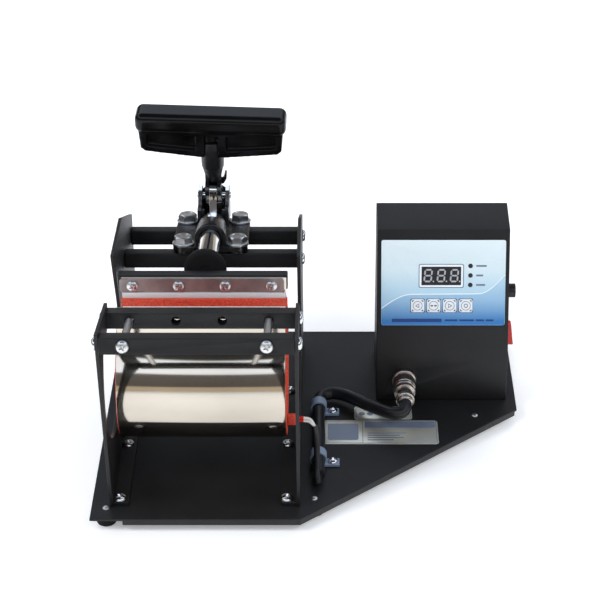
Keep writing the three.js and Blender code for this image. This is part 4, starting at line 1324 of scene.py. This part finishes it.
class PRESS_OT_stage(bpy.types.Operator):
    """Floor, lights and camera"""

    bl_idname = "press.stage"
    bl_label = "Stage"
    bl_options = {"REGISTER", "UNDO"}

    def light(self, name, place, target, size, power, colour=(1, 1, 1)):
        data = bpy.data.lights.new(name, "AREA")
        data.shape = "RECTANGLE"
        data.size, data.size_y = size
        data.energy = power
        data.color = colour
        lamp = bpy.data.objects.new(name, data)
        lamp.location = place
        lamp.visible_glossy = False
        lamp.rotation_euler = (Vector(target) - Vector(place)).to_track_quat("-Z", "Y").to_euler()
        bpy.context.scene.collection.objects.link(lamp)

    def sky(self):
        """A studio all round: warm and low, a bright band of lamps half way up, dark overhead."""
        world = bpy.data.worlds.new("studio")
        world.use_nodes = True
        tree = world.node_tree
        background = tree.nodes["Background"]
        coordinates = tree.nodes.new("ShaderNodeTexCoord")
        split = tree.nodes.new("ShaderNodeSeparateXYZ")
        ramp = tree.nodes.new("ShaderNodeValToRGB")
        stops = [(0.0, (0.6, 0.52, 0.4)), (0.56, (0.6, 0.52, 0.4)), (0.572, (0.13, 0.122, 0.12)), (0.745,
            (0.16, 0.15, 0.15)),
                 (0.76, (1.25, 1.38, 1.6)), (0.903, (1.2, 1.33, 1.55)), (0.915, (0.05, 0.05, 0.05)), (1.0,
                 (0.03, 0.03, 0.03))]
        while len(ramp.color_ramp.elements) < len(stops):
            ramp.color_ramp.elements.new(0.5)
        for element, (position, colour) in zip(ramp.color_ramp.elements, stops):
            element.position = position
            element.color = colour + (1,)
        half = tree.nodes.new("ShaderNodeMapRange")
        half.inputs["From Min"].default_value = -1
        half.inputs["From Max"].default_value = 1
        tree.links.new(coordinates.outputs["Generated"], split.inputs["Vector"])
        tree.links.new(split.outputs["Z"], half.inputs["Value"])
        tree.links.new(half.outputs["Result"], ramp.inputs["Fac"])
        behind = tree.nodes.new("ShaderNodeMapRange")
        behind.inputs["From Min"].default_value = -0.15
        behind.inputs["From Max"].default_value = 0.25
        behind.inputs["To Min"].default_value = 1.0
        behind.inputs["To Max"].default_value = 0.85
        dim = tree.nodes.new("ShaderNodeVectorMath")
        dim.operation = "SCALE"
        tree.links.new(split.outputs["Y"], behind.inputs["Value"])
        tree.links.new(ramp.outputs["Color"], dim.inputs[0])
        tree.links.new(behind.outputs["Result"], dim.inputs["Scale"])
        tree.links.new(dim.outputs["Vector"], background.inputs["Color"])
        background.inputs["Strength"].default_value = 1.0
        bpy.context.scene.world = world

    def execute(self, context):
        stage = context.scene.press_stage
        bpy.ops.mesh.primitive_plane_add(size=14, location=(0, 2.0, 0))
        floor = context.object
        floor.name = "floor"
        look = Look("pale floor", (0.88, 0.88, 0.88, 1), 0.6)
        look.shader.inputs["Emission Color"].default_value = (1, 1, 1, 1)
        look.shader.inputs["Emission Strength"].default_value = 0.3
        cloud = look.noise(3, 2)
        look.rough_from(cloud, 0.55, 0.65)
        floor.data.materials.append(look.material)
        self.sky()
        self.light("key", (-1.1, -0.75, 1.45), (0, 0, 0.08), (0.7, 0.7), 14)
        self.light("fill", (1.2, -0.75, 1.4), (0, 0, 0.08), (0.7, 0.7), 9)
        self.light("back", (0.0, 1.3, 1.45), (0, 0, 0.05), (1.6, 0.6), 14)
        data = bpy.data.cameras.new("camera")
        data.sensor_width = 36
        data.lens = stage.lens
        data.shift_x = stage.shift
        data.clip_end = 50
        camera = bpy.data.objects.new("camera", data)
        camera.location = (stage.aside, FRONT_EDGE - stage.distance, BASE_TOP + stage.height)
        camera.rotation_euler = (math.pi / 2 - stage.pitch, 0, 0)
        context.scene.collection.objects.link(camera)
        context.scene.camera = camera
        context.scene.view_settings.view_transform = "Standard"
        return {"FINISHED"}


class PRESS_PT_panel(bpy.types.Panel):
    """Lists the press's settings and its builders"""

    bl_idname = "PRESS_PT_panel"
    bl_label = "Mug Heat Press"
    bl_space_type = "VIEW_3D"
    bl_region_type = "UI"
    bl_category = "Mug Press"

    def draw(self, context):
        layout = self.layout
        for group in (context.scene.press_sizes, context.scene.press_finishes, context.scene.press_stage):
            column = layout.column(align=True)
            for name in group.__annotations__:
                column.prop(group, name)
        column = layout.column(align=True)
        for operator in OPERATORS:
            column.operator(operator.bl_idname)


OPERATORS = (PRESS_OT_stage, PRESS_OT_base, PRESS_OT_frame, PRESS_OT_wrap, PRESS_OT_clamp, PRESS_OT_grip,
             PRESS_OT_box,
             PRESS_OT_panel, PRESS_OT_fittings, PRESS_OT_plug, PRESS_OT_lead, PRESS_OT_screws,
             PRESS_OT_labels)
GROUPS = (("press_sizes", PressSizes), ("press_finishes", PressFinishes), ("press_stage", PressStage))


def register():
    for name, group in GROUPS:
        bpy.utils.register_class(group)
        setattr(bpy.types.Scene, name, PointerProperty(type=group))
    for operator in OPERATORS:
        bpy.utils.register_class(operator)
    bpy.utils.register_class(PRESS_PT_panel)


def unregister():
    bpy.utils.unregister_class(PRESS_PT_panel)
    for operator in reversed(OPERATORS):
        bpy.utils.unregister_class(operator)
    for name, group in reversed(GROUPS):
        delattr(bpy.types.Scene, name)
        bpy.utils.unregister_class(group)


def main():
    register()
    for operator in OPERATORS:
        folder, name = operator.bl_idname.split(".")
        getattr(getattr(bpy.ops, folder), name)()


if __name__ == "__main__":
    main()
